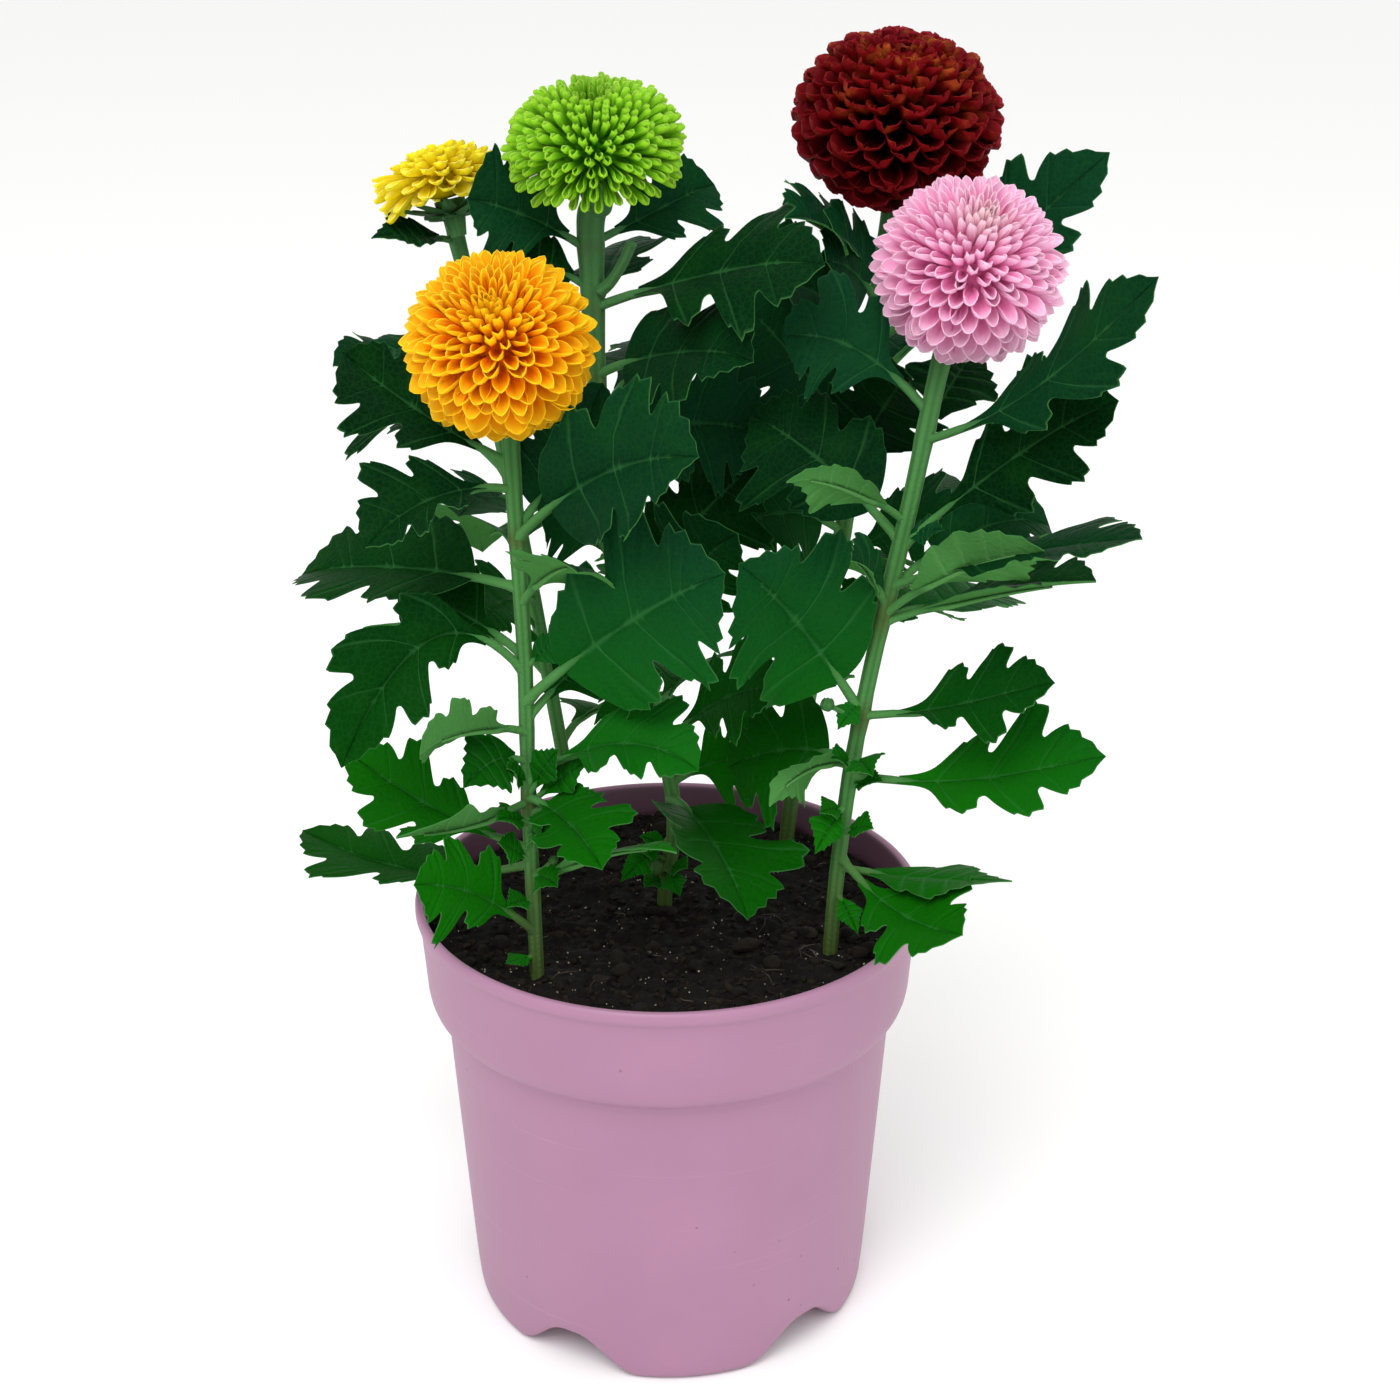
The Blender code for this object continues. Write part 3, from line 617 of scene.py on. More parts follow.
DEEP_OUTLINE = [
    (0.000, 0.000, 0.040, 0), (0.035, 0.060, 0.050, 0), (0.070, 0.125, 0.070, 0),
    (0.100, 0.180, 0.110, 0), (0.122, 0.226, 0.180, 0), (0.142, 0.268, 0.258, 0),
    (0.160, 0.310, 0.326, 0.5), (0.178, 0.328, 0.316, 0), (0.196, 0.398, 0.390, 1),
    (0.222, 0.412, 0.346, 0), (0.250, 0.450, 0.324, 0.4), (0.284, 0.446, 0.264, 0),
    (0.332, 0.448, 0.222, 0), (0.385, 0.470, 0.205, 0), (0.400, 0.492, 0.234, 0),
    (0.412, 0.522, 0.290, 0), (0.422, 0.556, 0.352, 0), (0.432, 0.592, 0.412, 0),
    (0.440, 0.628, 0.460, 0.5), (0.448, 0.640, 0.446, 0), (0.458, 0.694, 0.500, 1),
    (0.470, 0.708, 0.458, 0), (0.484, 0.756, 0.442, 0.6), (0.508, 0.748, 0.366, 0),
    (0.538, 0.732, 0.296, 0), (0.578, 0.724, 0.244, 0), (0.655, 0.738, 0.216, 0),
    (0.672, 0.764, 0.242, 0), (0.688, 0.802, 0.274, 0), (0.704, 0.848, 0.294, 0.8),
    (0.728, 0.856, 0.250, 0), (0.758, 0.902, 0.234, 0.6), (0.796, 0.910, 0.180, 0),
    (0.848, 0.954, 0.134, 0.5), (0.905, 0.970, 0.074, 0), (1.000, 1.000, 0.004, 0)]
SMALL_OUTLINE = [
    (0.00, 0.00, 0.08, 0), (0.09, 0.11, 0.15, 0), (0.18, 0.22, 0.28, 0), (0.25, 0.33, 0.38, 1),
    (0.29, 0.35, 0.34, 0), (0.34, 0.42, 0.42, 0), (0.39, 0.51, 0.50, 1), (0.44, 0.57, 0.46, 0),
    (0.48, 0.58, 0.40, 0), (0.55, 0.66, 0.37, 1), (0.60, 0.665, 0.29, 0), (0.66, 0.75, 0.27, 0.8),
    (0.72, 0.765, 0.20, 0), (0.80, 0.865, 0.16, 0.6), (0.86, 0.885, 0.10, 0), (1.00, 1.00, 0.004, 0)]
BLADE_COLUMNS = [-1, -0.88, -0.62, -0.34, -0.09, 0, 0.09, 0.34, 0.62, 0.88, 1]


def smooth_rows(rows, steps):
    """Rows of a table with rounded steps between them (Catmull-Rom)."""
    rows = np.array(rows, dtype=float)
    padded = np.vstack([rows[:1], rows, rows[-1:]])
    made = []
    for place in range(len(rows) - 1):
        a, b, c, d = padded[place:place + 4]
        for step in range(steps):
            t = step / steps
            made.append(0.5 * (2 * b + (c - a) * t + (2 * a - 5 * b + 4 * c - d) * t ** 2
                               + (3 * b - a - 3 * c + d) * t ** 3))
    made.append(rows[-1])
    return np.array(made)


def cut_blade(name, outline):
    """A flat leaf with its lobes and teeth, thin as a leaf, cut from a grid."""
    rows = smooth_rows(outline, 2)
    last = len(rows) - 1
    columns = len(BLADE_COLUMNS) - 1
    blade = start_piece(name, bpy.ops.mesh.primitive_grid_add,
                        x_subdivisions=last, y_subdivisions=columns, size=2)
    flat = points_of(blade)
    station = np.rint((flat[:, 0] + 1) / 2 * last).astype(int)
    side = np.array(BLADE_COLUMNS)[np.rint((flat[:, 1] + 1) / 2 * columns).astype(int)]
    middle, edge, half, vein = rows[station].T
    place = middle + (edge - middle) * np.abs(side)
    across = side * np.abs(half)
    vein = np.clip(vein, 0, 1) * (1 - 0.35 * np.abs(side))
    vein = np.where(np.abs(side) > 0.5, vein, np.where(vein > 0.55, vein, 0))
    vein = np.where(side == 0, 1.0, vein)
    move_points(blade, np.stack([
        place * BLADE_LONG, across * BLADE_WIDE, -0.22 * vein * (1 - np.abs(side))], axis=1) * MM)
    mark(blade, vein=vein, edge=np.abs(side))
    finish_with(blade, "SOLIDIFY", thickness=BLADE_THICK * MM, offset=-1)
    mark(blade, underside=np.arange(len(blade.data.vertices)) >= len(flat), rib=0.0)
    return blade


def roll_stalk(name):
    """The stalk and the midrib under the blade: a tapering rod, drawn out of a cylinder."""
    rod = start_piece(name, bpy.ops.mesh.primitive_cylinder_add,
                      vertices=8, radius=1, depth=1, rotation=(0, math.pi / 2, 0))
    settle(rod)
    cut_across([cut / 14 - 0.5 for cut in range(1, 14)], (1, 0, 0))
    mark(rod, vein=1.0, edge=0.0)
    return rod


def stem_point(colour, level):
    """The place of the stem's axis at a height, in millimetres."""
    spots = np.array([spot for spot, _ in STEMS[colour][1:]], dtype=float)
    return np.array([np.interp(level, spots[:, 2], spots[:, 0]),
                     np.interp(level, spots[:, 2], spots[:, 1]), level])


def lie_along(place, root, tip, rise, turn, lean):
    """Points, sideways directions and face directions along the arch of a leaf."""
    turn, lean = math.radians(turn), math.radians(lean)
    place = place[:, None]
    middle = (root + tip) / 2 + (0, 0, 2 * rise)
    point = root * (1 - place) ** 2 + middle * 2 * place * (1 - place) + tip * place ** 2
    along = (middle - root) * (1 - place) + (tip - middle) * place
    along /= np.linalg.norm(along, axis=1, keepdims=True)
    face = np.array([math.sin(lean), -math.sin(turn) * math.cos(lean), math.cos(turn) * math.cos(lean)])
    face = face - (along @ face)[:, None] * along
    face /= np.linalg.norm(face, axis=1, keepdims=True)
    return point, np.cross(face, along), face


def hang_blade(blank, root, row, draw):
    """One copy of the flat leaf, stretched and bent to its place, each lobe in a way of its own."""
    _, tip, rise, width, (turn, lean) = row
    blade = copy_of(blank)
    flat = points_of(blade) / MM
    part, across, thick = flat[:, 0] / BLADE_LONG, flat[:, 1] / BLADE_WIDE, flat[:, 2]
    side = np.sign(across)
    away = 2 * np.abs(across)
    for phase, wave in ((draw.uniform(0, 6.28), 5.0), (draw.uniform(0, 6.28), 9.0)):
        across = across * (1 + 0.09 * np.sin(part * wave + phase + side * 1.3))
    place = STALK_PART + (1 - STALK_PART) * part
    point, sideways, face = lie_along(place, root, np.array(tip, float), rise, turn, lean)
    lift = draw.uniform(0.12, 0.50) * away - draw.uniform(0.12, 0.40) * away ** 2.2
    for hand in (-1, 1):
        for lobe in (0.30, 0.62, 0.86):
            bend = draw.uniform(-0.20, 0.13) * np.exp(-((part - lobe) / 0.13) ** 2)
            lift = lift + np.where(side == hand, bend * away ** 1.5, 0)
        roll = 1.4 * draw.random() if draw.random() < 0.3 else 0.0
        lift = lift + np.where(side == hand, roll * np.clip(away - 0.5, 0, 1) ** 2, 0)
    lift = lift + 0.035 * np.sin(part * 37 + draw.uniform(0, 6.28) + side) * away ** 3
    lift = lift + draw.uniform(-0.5, 0.5) * part * 2 * across
    curl = -0.30 * np.clip(part - 0.70, 0, 1) ** 2 * draw.uniform(-1.5, 5)
    point = point + sideways * (across * width)[:, None]
    point = point + face * ((0.5 * lift + curl * 0.5) * width + thick)[:, None]
    move_points(blade, point * MM)
    fresh = 0.6 if width < 14 else 0.0
    mark(blade, tone=fresh + (1 - fresh) * draw.random())
    return blade


def hang_stalk(blank, root, row, draw):
    """The stalk of that leaf; under the blade it goes on as the raised midrib."""
    _, tip, rise, width, (turn, lean) = row
    rod = copy_of(blank)
    flat = points_of(rod)
    place = (flat[:, 0] + 0.5) * MIDRIB_END
    point, sideways, face = lie_along(place, root, np.array(tip, float), rise, turn, lean)
    taper = np.interp(place, [0, 0.05, 0.2, 0.35, MIDRIB_END], [1.5, 1.0, 0.9, 0.62, 0.25])
    thick = (0.75 + width * 0.012) * taper
    sunk = np.interp(place, [0, STALK_PART, 0.32, MIDRIB_END], [0, 0, 1, 1.2]) * (thick + 0.34)
    point = point + sideways * (flat[:, 1] * thick)[:, None] + face * (flat[:, 2] * thick - sunk)[:, None]
    move_points(rod, point * MM)
    mark(rod, tone=draw.random(), rib=np.interp(place, [0.16, 0.28], [1.0, 0.25]),
         underside=(flat[:, 2] < 0.3) & (place > 0.24))
    return rod


def ribbed_rod(name, spots, radii, ribs, depth, swellings=()):
    """A stem: a fine tube, bent along its axis and pressed into shallow ribs."""
    path = smooth_rows([tuple(spot) + (radius,) for spot, radius in zip(spots, radii)], 6)
    rod = start_piece(name, bpy.ops.mesh.primitive_grid_add,
                      x_subdivisions=ROD_SIDES, y_subdivisions=len(path) - 1, size=2)
    flat = points_of(rod)
    ring = np.rint((flat[:, 1] + 1) / 2 * (len(path) - 1)).astype(int)
    turn = (flat[:, 0] + 1) * math.pi
    along = np.gradient(path[:, :3], axis=0)
    along /= np.linalg.norm(along, axis=1, keepdims=True)
    first = np.cross(along, (0.0, 1.0, 0.15))
    first /= np.linalg.norm(first, axis=1, keepdims=True)
    second = np.cross(along, first)
    radius = path[ring, 3] * (1 + depth * np.cos(ribs * turn))
    scars = np.zeros(len(ring))
    for level in swellings:
        radius = radius * (1 + 0.07 * np.exp(-((path[ring, 2] - level) / 1.4) ** 2))
        scars += np.exp(-((path[ring, 2] - level) / 0.5) ** 2)
    point = (path[ring, :3] + first[ring] * (radius * np.cos(turn))[:, None]
             + second[ring] * (radius * np.sin(turn))[:, None])
    move_points(rod, point * MM)
    # On a stem the vein mark is 1 on the ribs and 0 in the grooves, where the leaf material paints shade.
    mark(rod, vein=0.5 + 0.5 * np.cos(ribs * turn), edge=np.minimum(scars, 1.0))
    hold(rod)
    edit_mode()
    bpy.ops.mesh.remove_doubles(threshold=1e-6)
    bpy.ops.mesh.select_all(action="DESELECT")
    bpy.ops.mesh.select_mode(type="EDGE")
    bpy.ops.mesh.select_non_manifold()
    bpy.ops.mesh.edge_face_add()
    face_outwards()
    mark(rod, underside=0.0, rib=2.0, tone=0.5)
    return rod


def head_axes(tilt, lean):
    tilt, lean = math.radians(tilt), math.radians(lean)
    axis = np.array([math.sin(lean), -math.sin(tilt) * math.cos(lean), math.cos(tilt) * math.cos(lean)])
    side = np.cross(axis, (0, 1, 0))
    side /= np.linalg.norm(side)
    return axis, side, np.cross(axis, side)


# centre of the head, tilt to the seen side, lean to +X, radius, height factor
HEADS = {
    "orange": ((-36, -30, 265.5), 40, -4, 22.5, 0.88),
    "green": ((-15.6, 0, 303.2), 14, -2, 21.5, 0.60),
    "pink": ((68.2, -20, 280), 34, 6, 22.5, 0.88),
    "red": ((55.2, 30, 305), 16, 4, 26.0, 0.79),
    "yellow": ((-53.0, 27, 291.0), -10, -14, 14.5, 0.58),
}
CORE_PART = 0.56
SEAT_GAP = 0.3
# how deep below the seat the rings of the calyx and the end of the stem lie, and how wide
# the calyx is against the head
CALYX_DEPTHS = (9.0, 6.8, 2.8, 1.0, 0.0)
NECK_DEPTH = 7.0
CALYX_PART = 0.26
# number of bracts, length, width, how far they spread from the axis (degrees)
BRACTS = {"orange": (16, 6.5, 3.0, 62), "green": (16, 6.0, 3.2, 58), "pink": (16, 6.5, 3.0, 62),
          "red": (18, 7.0, 3.2, 62), "yellow": (15, 9.0, 3.4, 78)}
# whose stem, place and radius of the small round buds
BUDS = [("green", (-3.2, -1.4, 121.8), 2.1), ("pink", (38.5, -25.5, 177.3), 1.7),
        ("orange", (-27.0, -33.5, 140.0), 1.2)]
BUD_SCALES = 9
CUT_SHOOT = [(-15.0, 0.5, 270.5), (-12.4, -0.6, 273.0), (-9.6, -2.4, 277.6), (-7.4, -4.0, 282.6)]


def seat_level(colour):
    _, _, _, radius, flat = HEADS[colour]
    return -0.82 * CORE_PART * radius * flat


def cut_bract(name):
    """A pointed scale of the calyx, slightly hollow, from a small grid."""
    bract = start_piece(name, bpy.ops.mesh.primitive_grid_add, x_subdivisions=5, y_subdivisions=2, size=2)
    flat = points_of(bract)
    part = (flat[:, 0] + 1) / 2
    width = np.interp(part, [0, 0.2, 0.4, 0.6, 0.8, 1], [0.42, 0.50, 0.50, 0.42, 0.26, 0.03])
    move_points(bract, np.stack([part, flat[:, 1] * width, 0.22 * flat[:, 1] ** 2 - 0.10], axis=1))
    finish_with(bract, "SOLIDIFY", thickness=0.09, offset=-1)
    mark(bract, vein=0.0, edge=0.0, underside=0.0, rib=1.0, tone=0.2)
    return bract


def set_bracts(blank, base, axes, count, length, width, spread, draw):
    """Two rows of scales round an axis, the lower row shorter."""
    axis, side, other = axes
    laid = []
    for number in range(count):
        turn = math.tau * (number + 0.5 * (number % 2)) / count + draw.uniform(-0.12, 0.12)
        opened = math.radians(spread + draw.uniform(-7, 7) + (10 if number % 2 else 0))
        reach = length * (0.72 if number % 2 else 1.0) * draw.uniform(0.88, 1.1)
        spoke = side * math.cos(turn) + other * math.sin(turn)
        bract = copy_of(blank)
        flat = points_of(bract)
        bow = 0.10 * flat[:, 0] ** 2
        out = spoke * math.sin(opened) + axis * math.cos(opened)
        back = axis * math.sin(opened) - spoke * math.cos(opened)
        cross = np.cross(axis, spoke)
        start = base + spoke * 1.6 - axis * (0.9 if number % 2 else 0.0)
        point = (start + out * (flat[:, 0] * reach)[:, None] + cross * (flat[:, 1] * width)[:, None]
                 + back * (flat[:, 2] * width + bow * reach)[:, None])
        move_points(bract, point * MM)
        laid.append(bract)
    return laid


def green_bud(spot, radius, bract_blank, draw):
    """A side bud: a button wrapped in scales that close over it."""
    bud = start_piece("bud", bpy.ops.mesh.primitive_uv_sphere_add, segments=16, ring_count=10,
                      radius=radius * 0.92 * MM, location=np.array(spot) * MM)
    settle(bud)
    mark(bud, vein=0.0, edge=0.0, underside=0.0, rib=1.0, tone=0.9)
    scales = []
    for number in range(BUD_SCALES):
        turn = math.tau * number / BUD_SCALES + draw.uniform(-0.1, 0.1)
        scale = copy_of(bract_blank)
        flat = points_of(scale)
        polar = math.radians(155) - flat[:, 0] * math.radians(118)
        wide = turn + flat[:, 1] * 0.75
        away = radius * (1.0 + 0.10 * flat[:, 2] + 0.05 * (number % 2))
        point = np.array(spot) + np.stack([
            away * np.sin(polar) * np.cos(wide), away * np.sin(polar) * np.sin(wide),
            away * np.cos(polar)], axis=1)
        move_points(scale, point * MM)
        scales.append(scale)
    return [bud] + scales


def leaf_tissue():
    """A living leaf: dark blue-green and weakly glossy above, matt grey-green below, with paler
    veins about 0.6 mm wide, a thin pale rim and a fine net of veinlets 1.5 mm apart. Stems and
    stalks, where the rib mark is 1 or more, are brown at the foot, with painted shade darkening
    their grooves; bracts and buds get the same painted shade."""
    material, shader = start_material("leaf_tissue")
    spot = add_node(material, "TexCoord", take="Object")
    height = add_node(material, "SeparateXYZ", {0: spot}, take="Z")
    clouds = add_node(material, "TexNoise", {"Vector": spot, "Scale": 90.0, "Detail": 3.0})
    net = add_node(material, "TexVoronoi", {"Vector": spot, "Scale": 620.0}, feature="DISTANCE_TO_EDGE")
    vein, edge, underside, rib, tone = [
        add_node(material, "Attribute", take="Fac", attribute_name=name)
        for name in ("vein", "edge", "underside", "rib", "tone")]
    made = {"vein": vein, "tone": tone, "underside": underside}
    for name, value, low, high, start, end in (
            ("upper leaves", height, 0.155, 0.225, 0.0, 1.0), ("patch", clouds, 0.45, 0.8, 0.0, 0.25),
            ("lace", net, 0.02, 0.12, 0.10, 0.0), ("vein line", vein, 0.45, 1.0, 0.0, 0.30),
            ("rim", edge, 0.97, 1.0, 0.0, 0.22), ("above foot", height, 0.108, 0.150, 0.0, 1.0),
            # groove: painted shade where the vein mark is low, in the stem grooves; bracts and buds, marked
            # 0, get it too
            ("groove shade", vein, 0.0, 0.7, 0.45, 0.0), ("bloomy", height, 0.23, 0.285, 0.0, 0.6),
            ("rough", underside, 0.0, 1.0, 0.44, 0.75), ("gloss", underside, 0.0, 1.0, 0.015, 0.0)):
        made[name] = add_node(material, "MapRange", {
            "Value": value, "From Min": low, "From Max": high, "To Min": start, "To Max": end})
    made["scar"] = add_node(material, "Math", {0: edge, 1: 0.55}, operation="MULTIPLY")
    made["stem"] = add_node(material, "Math", {0: rib, 1: 1.0}, operation="MINIMUM")
    # each row: its name, its share, and the colours or earlier rows below and above
    for name, share, below, above in (
            ("low leaf", "tone", "#033802", "#0F6404"),
            ("high leaf", "tone", "#022008", "#0C3820"),
            ("leaf", "upper leaves", "low leaf", "high leaf"),
            ("patched", "patch", "leaf", "#124A10"),
            ("laced", "lace", "patched", "#245C26"),
            ("veined", "vein line", "laced", "#3F7D45"),
            ("rimmed", "rim", "veined", "#4F8A55"),
            ("back", "vein line", "#457E3E", "#6C9E60"),
            ("blade", "underside", "rimmed", "back"),
            ("bark", "above foot", "#46552A", "#4A8044"),
            # painted shade (#1C4420) in the grooves of stems, and over bracts and buds
            ("ribbed", "groove shade", "bark", "#1C4420"),
            ("jointed", "scar", "ribbed", "#4A3A20"),
            ("whole stem", "bloomy", "jointed", "#446E48"),
            ("colour", "stem", "blade", "whole stem")):
        below, above = [linear(code) if code[0] == "#" else made[code] for code in (below, above)]
        made[name] = add_node(material, "Mix", {
            SHARE: made[share], BASE: below, TOP: above}, data_type="RGBA")
    relief = add_node(material, "Math", {0: net, 1: clouds}, operation="ADD")
    off_stem = add_node(material, "Math", {0: 1.0, 1: made["stem"]}, operation="SUBTRACT")
    furrow = add_node(material, "Math", {0: vein, 1: off_stem}, operation="MULTIPLY")
    quilted = add_node(material, "Math", {0: furrow, 1: -1.6, 2: relief}, operation="MULTIPLY_ADD")
    bump = add_node(material, "Bump", {"Height": quilted, "Strength": 0.30, "Distance": 0.0008})
    finish_surface(material, shader, Base_Color=made["colour"], Roughness=made["rough"],
                   Specular_IOR_Level=made["gloss"], Normal=bump)
    return material


broad_blade = cut_blade("broad_blade", BROAD_OUTLINE)
deep_blade = cut_blade("deep_blade", DEEP_OUTLINE)
small_blade = cut_blade("small_blade", SMALL_OUTLINE)
stalk_rod = roll_stalk("leaf_stalk")
bract_blank = cut_bract("calyx_scale")
leaf_green = leaf_tissue()
for order, (colour, spots) in enumerate(STEMS.items()):
    draw = random.Random(40 + order)
    centre, tilt, lean, radius, flat = HEADS[colour]
    axes = head_axes(tilt, lean)
    centre, axis, level = np.array(centre, float), axes[0], seat_level(colour) - SEAT_GAP
    neck, wide = spots[-1][1], CALYX_PART * radius
    line = [spot for spot, _ in spots] + [tuple(centre + axis * (level - NECK_DEPTH))]
    sizes = [size for _, size in spots] + [neck * 1.05]
    joints = [row[0] for row in LEAVES[colour]]
    rib_depth = 0.08 if colour == "green" else 0.055
    calyx = [tuple(centre + axis * (level - low)) for low in CALYX_DEPTHS]
    calyx_sizes = [neck * 0.9, neck * 1.1, wide * 0.84, wide * 0.97, wide * 0.98]
    parts = [ribbed_rod("stem", line, sizes, 6, rib_depth, joints),
             ribbed_rod("calyx", calyx, calyx_sizes, 10, 0.03)]
    parts += set_bracts(bract_blank, centre + axis * (level - 3.2), axes, *BRACTS[colour], draw)
    for row in LEAVES[colour] + SHOOTS[colour]:
        root = stem_point(colour, row[0])
        width, turn = row[3], row[4][0]
        blank = broad_blade if width > BROAD_WIDTH and turn >= 35 else deep_blade
        blank = small_blade if width < SMALL_WIDTH else blank
        parts.append(hang_blade(blank, root, row, draw))
        parts.append(hang_stalk(stalk_rod, root, row, draw))
    for owner, spot, size in BUDS:
        if owner == colour:
            parts += green_bud(spot, size, bract_blank, draw)
            root = stem_point(colour, spot[2] - 5.0)
            elbow = (root + spot) / 2 - (0, 0, 0.9)
            line = [tuple(root), tuple(elbow), spot]
            parts.append(ribbed_rod("bud_stalk", line, [0.9, 0.6, 0.7], 5, 0.04))
    if colour == "green":
        parts.append(ribbed_rod("cut_shoot", CUT_SHOOT, [1.5, 1.3, 1.25, 1.3], 5, 0.05))
    leafy_stem = join(parts)
    leafy_stem.name = "foliage_" + colour
    coat(leafy_stem, leaf_green, 50)
    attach(leafy_stem, "root")
    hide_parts("leafy_stem_" + colour)
for blank in (broad_blade, deep_blade, small_blade, stalk_rod):
    bpy.data.objects.remove(blank)

# Flower heads: each a ball of rayed florets on a low green base, small and shut in the middle
# and longer and wider further out. The florets are soft, thin and rolled into quills, spoons
# or troughs that open towards the middle of the head.

# For each head, in the middle and outside: how far the florets stand apart, the width of the
# flat strip, how far it is rolled (degrees) and how far it bends to the axis. Then the lowest
# row (degrees from the axis), the dimple, the waves of the rim, how uneven the lengths are, how
# far the tip cups inward, and the width at each station.
FLORETS = {
    "orange": {"apart": (2.5, 4.6), "wide": (4.6, 8.4), "roll": (290, 135), "bend": (0.16, -0.14),
               "lowest": 140, "dimple": 0.10, "wave": 0.02, "uneven": 0.08, "cup": 0.0,
               "form": (0.26, 0.46, 0.88, 1.00, 0.78, 0.38, 0.04)},
    "green": {"apart": (1.9, 3.25), "wide": (4.2, 6.0), "roll": (345, 320), "bend": (0.26, -0.06),
              "lowest": 110, "dimple": 0.42, "wave": 0.0, "uneven": 0.07, "cup": 0.03,
              "form": (0.36, 0.46, 0.70, 0.94, 1.00, 0.76, 0.20)},
    "pink": {"apart": (2.4, 4.5), "wide": (4.2, 7.8), "roll": (300, 165), "bend": (0.14, -0.10),
             "lowest": 134, "dimple": 0.05, "wave": 0.01, "uneven": 0.06, "cup": 0.02,
             "form": (0.26, 0.46, 0.88, 1.00, 0.80, 0.42, 0.04)},
    "red": {"apart": (3.0, 5.6), "wide": (6.4, 12.4), "roll": (250, 150), "bend": (0.22, -0.04),
            "lowest": 134, "dimple": 0.22, "wave": 0.05, "uneven": 0.09, "cup": 0.0,
            "form": (0.26, 0.46, 0.84, 1.00, 0.94, 0.70, 0.24)},
    "yellow": {"apart": (2.0, 3.5), "wide": (3.4, 6.4), "roll": (280, 120), "bend": (0.16, -0.10),
               "lowest": 101, "dimple": 0.04, "wave": 0.04, "uneven": 0.10, "cup": 0.0,
               "form": (0.30, 0.50, 0.88, 1.00, 0.86, 0.54, 0.12)},
}
GOLDEN_TURN = math.radians(137.508)
FLORET_STATIONS = [0.0, 0.35, 0.60, 0.76, 0.88, 0.96, 1.0]
FLORET_THICK = 0.22
FLORET_FOOT = 0.30
HEART_PART = 0.50
# where the longest outer ligules of the yellow head hang
TRAILING = np.array([-0.80, -0.45, -0.40])


def cut_floret(name):
    """A flat strip that every floret is rolled from."""
    last = len(FLORET_STATIONS) - 1
    strip = start_piece(name, bpy.ops.mesh.primitive_grid_add,
                        x_subdivisions=last, y_subdivisions=4, size=2)
    flat = points_of(strip)
    flat[:, 0] = np.array(FLORET_STATIONS)[np.rint((flat[:, 0] + 1) / 2 * last).astype(int)]
    move_points(strip, flat)
    finish_with(strip, "SOLIDIFY", thickness=0.01, offset=-1)
    return strip


def floret_angles(near, far, lowest, radius, flat):
    """Angles from the axis, so that the florets stand evenly apart on the ball."""
    angle = np.linspace(0.02, math.radians(lowest), 600)
    apart = near + (far - near) * np.clip(angle / math.radians(105), 0, 1) ** 0.8
    reach = radius * np.sqrt(np.sin(angle) ** 2 + (flat * np.cos(angle)) ** 2)
    crowd = math.tau * reach ** 2 * np.sin(angle) / apart ** 2
    total = np.concatenate([[0], np.cumsum((crowd[1:] + crowd[:-1]) / 2 * np.diff(angle))])
    count = int(total[-1])
    return np.interp(np.arange(count) + 0.5, total, angle)


def roll_floret(strip, colour, polar, azimuth, draw):
    """One floret: the strip is widened, rolled and set out from the middle of the head."""
    centre, tilt, lean, radius, flat = HEADS[colour]
    form = FLORETS[colour]
    axis, side, other = head_axes(tilt, lean)
    age = min(1.0, polar / math.radians(100))
    wide = np.interp(age ** 0.9, (0, 1), form["wide"]) * draw.uniform(0.88, 1.10)
    rolled = math.radians(np.interp(age ** 1.1, (0, 1), form["roll"]) + draw.uniform(-25, 25))
    bend = np.interp(age, (0, 1), form["bend"]) + draw.uniform(-0.05, 0.05)
    azimuth += draw.uniform(-0.07, 0.07)
    polar += draw.uniform(-0.035, 0.035) * age
    spoke = side * math.cos(azimuth) + other * math.sin(azimuth)
    away = axis * math.cos(polar) + spoke * math.sin(polar)
    inward = axis * math.sin(polar) - spoke * math.cos(polar)
    cross = np.cross(away, inward)
    reach = radius * math.sqrt(math.sin(polar) ** 2 + (flat * math.cos(polar)) ** 2)
    reach *= (1 - form["dimple"] * math.exp(-(polar / 0.30) ** 2)) * (1 - form["uneven"] * draw.random())
    if colour == "yellow" and polar > 1.2:
        hanging = max(0.0, float(spoke @ TRAILING))
        reach *= 1 + 0.26 * hanging
        bend -= 0.10 * hanging
    start = FLORET_FOOT * reach
    piece = copy_of(strip)
    flat_points = points_of(piece)
    part, over = flat_points[:, 0], flat_points[:, 1]
    inside = np.arange(len(part)) < len(part) // 2
    width = wide * np.interp(part, FLORET_STATIONS, form["form"])
    roll = np.interp(part, [0, 0.4, 0.85, 1.0], [5.2, max(rolled, 3.4), rolled, rolled * 0.72])
    bow = width / roll
    turn = over * roll / 2
    layer = np.maximum(np.where(inside, bow - FLORET_THICK, bow), 0.05)
    rise = bend * (reach - start) * part ** 2 + (bow - layer * np.cos(turn)) - bow * 0.5
    rise = rise + form["cup"] * (reach - start) * part ** 8
    rise = rise + form["wave"] * wide * part ** 3 * np.sin(over * 4.2 + draw.uniform(0, math.tau))
    sway = draw.uniform(-0.06, 0.06) * (reach - start) * part ** 2
    point = (np.array(centre) + away * (start + (reach - start) * part)[:, None]
             + inward * rise[:, None] + cross * (layer * np.sin(turn) + sway)[:, None])
    move_points(piece, point * MM)
    mark(piece, inside=inside, along=part, rim=np.abs(over), age=age, tone=draw.random())
    return piece
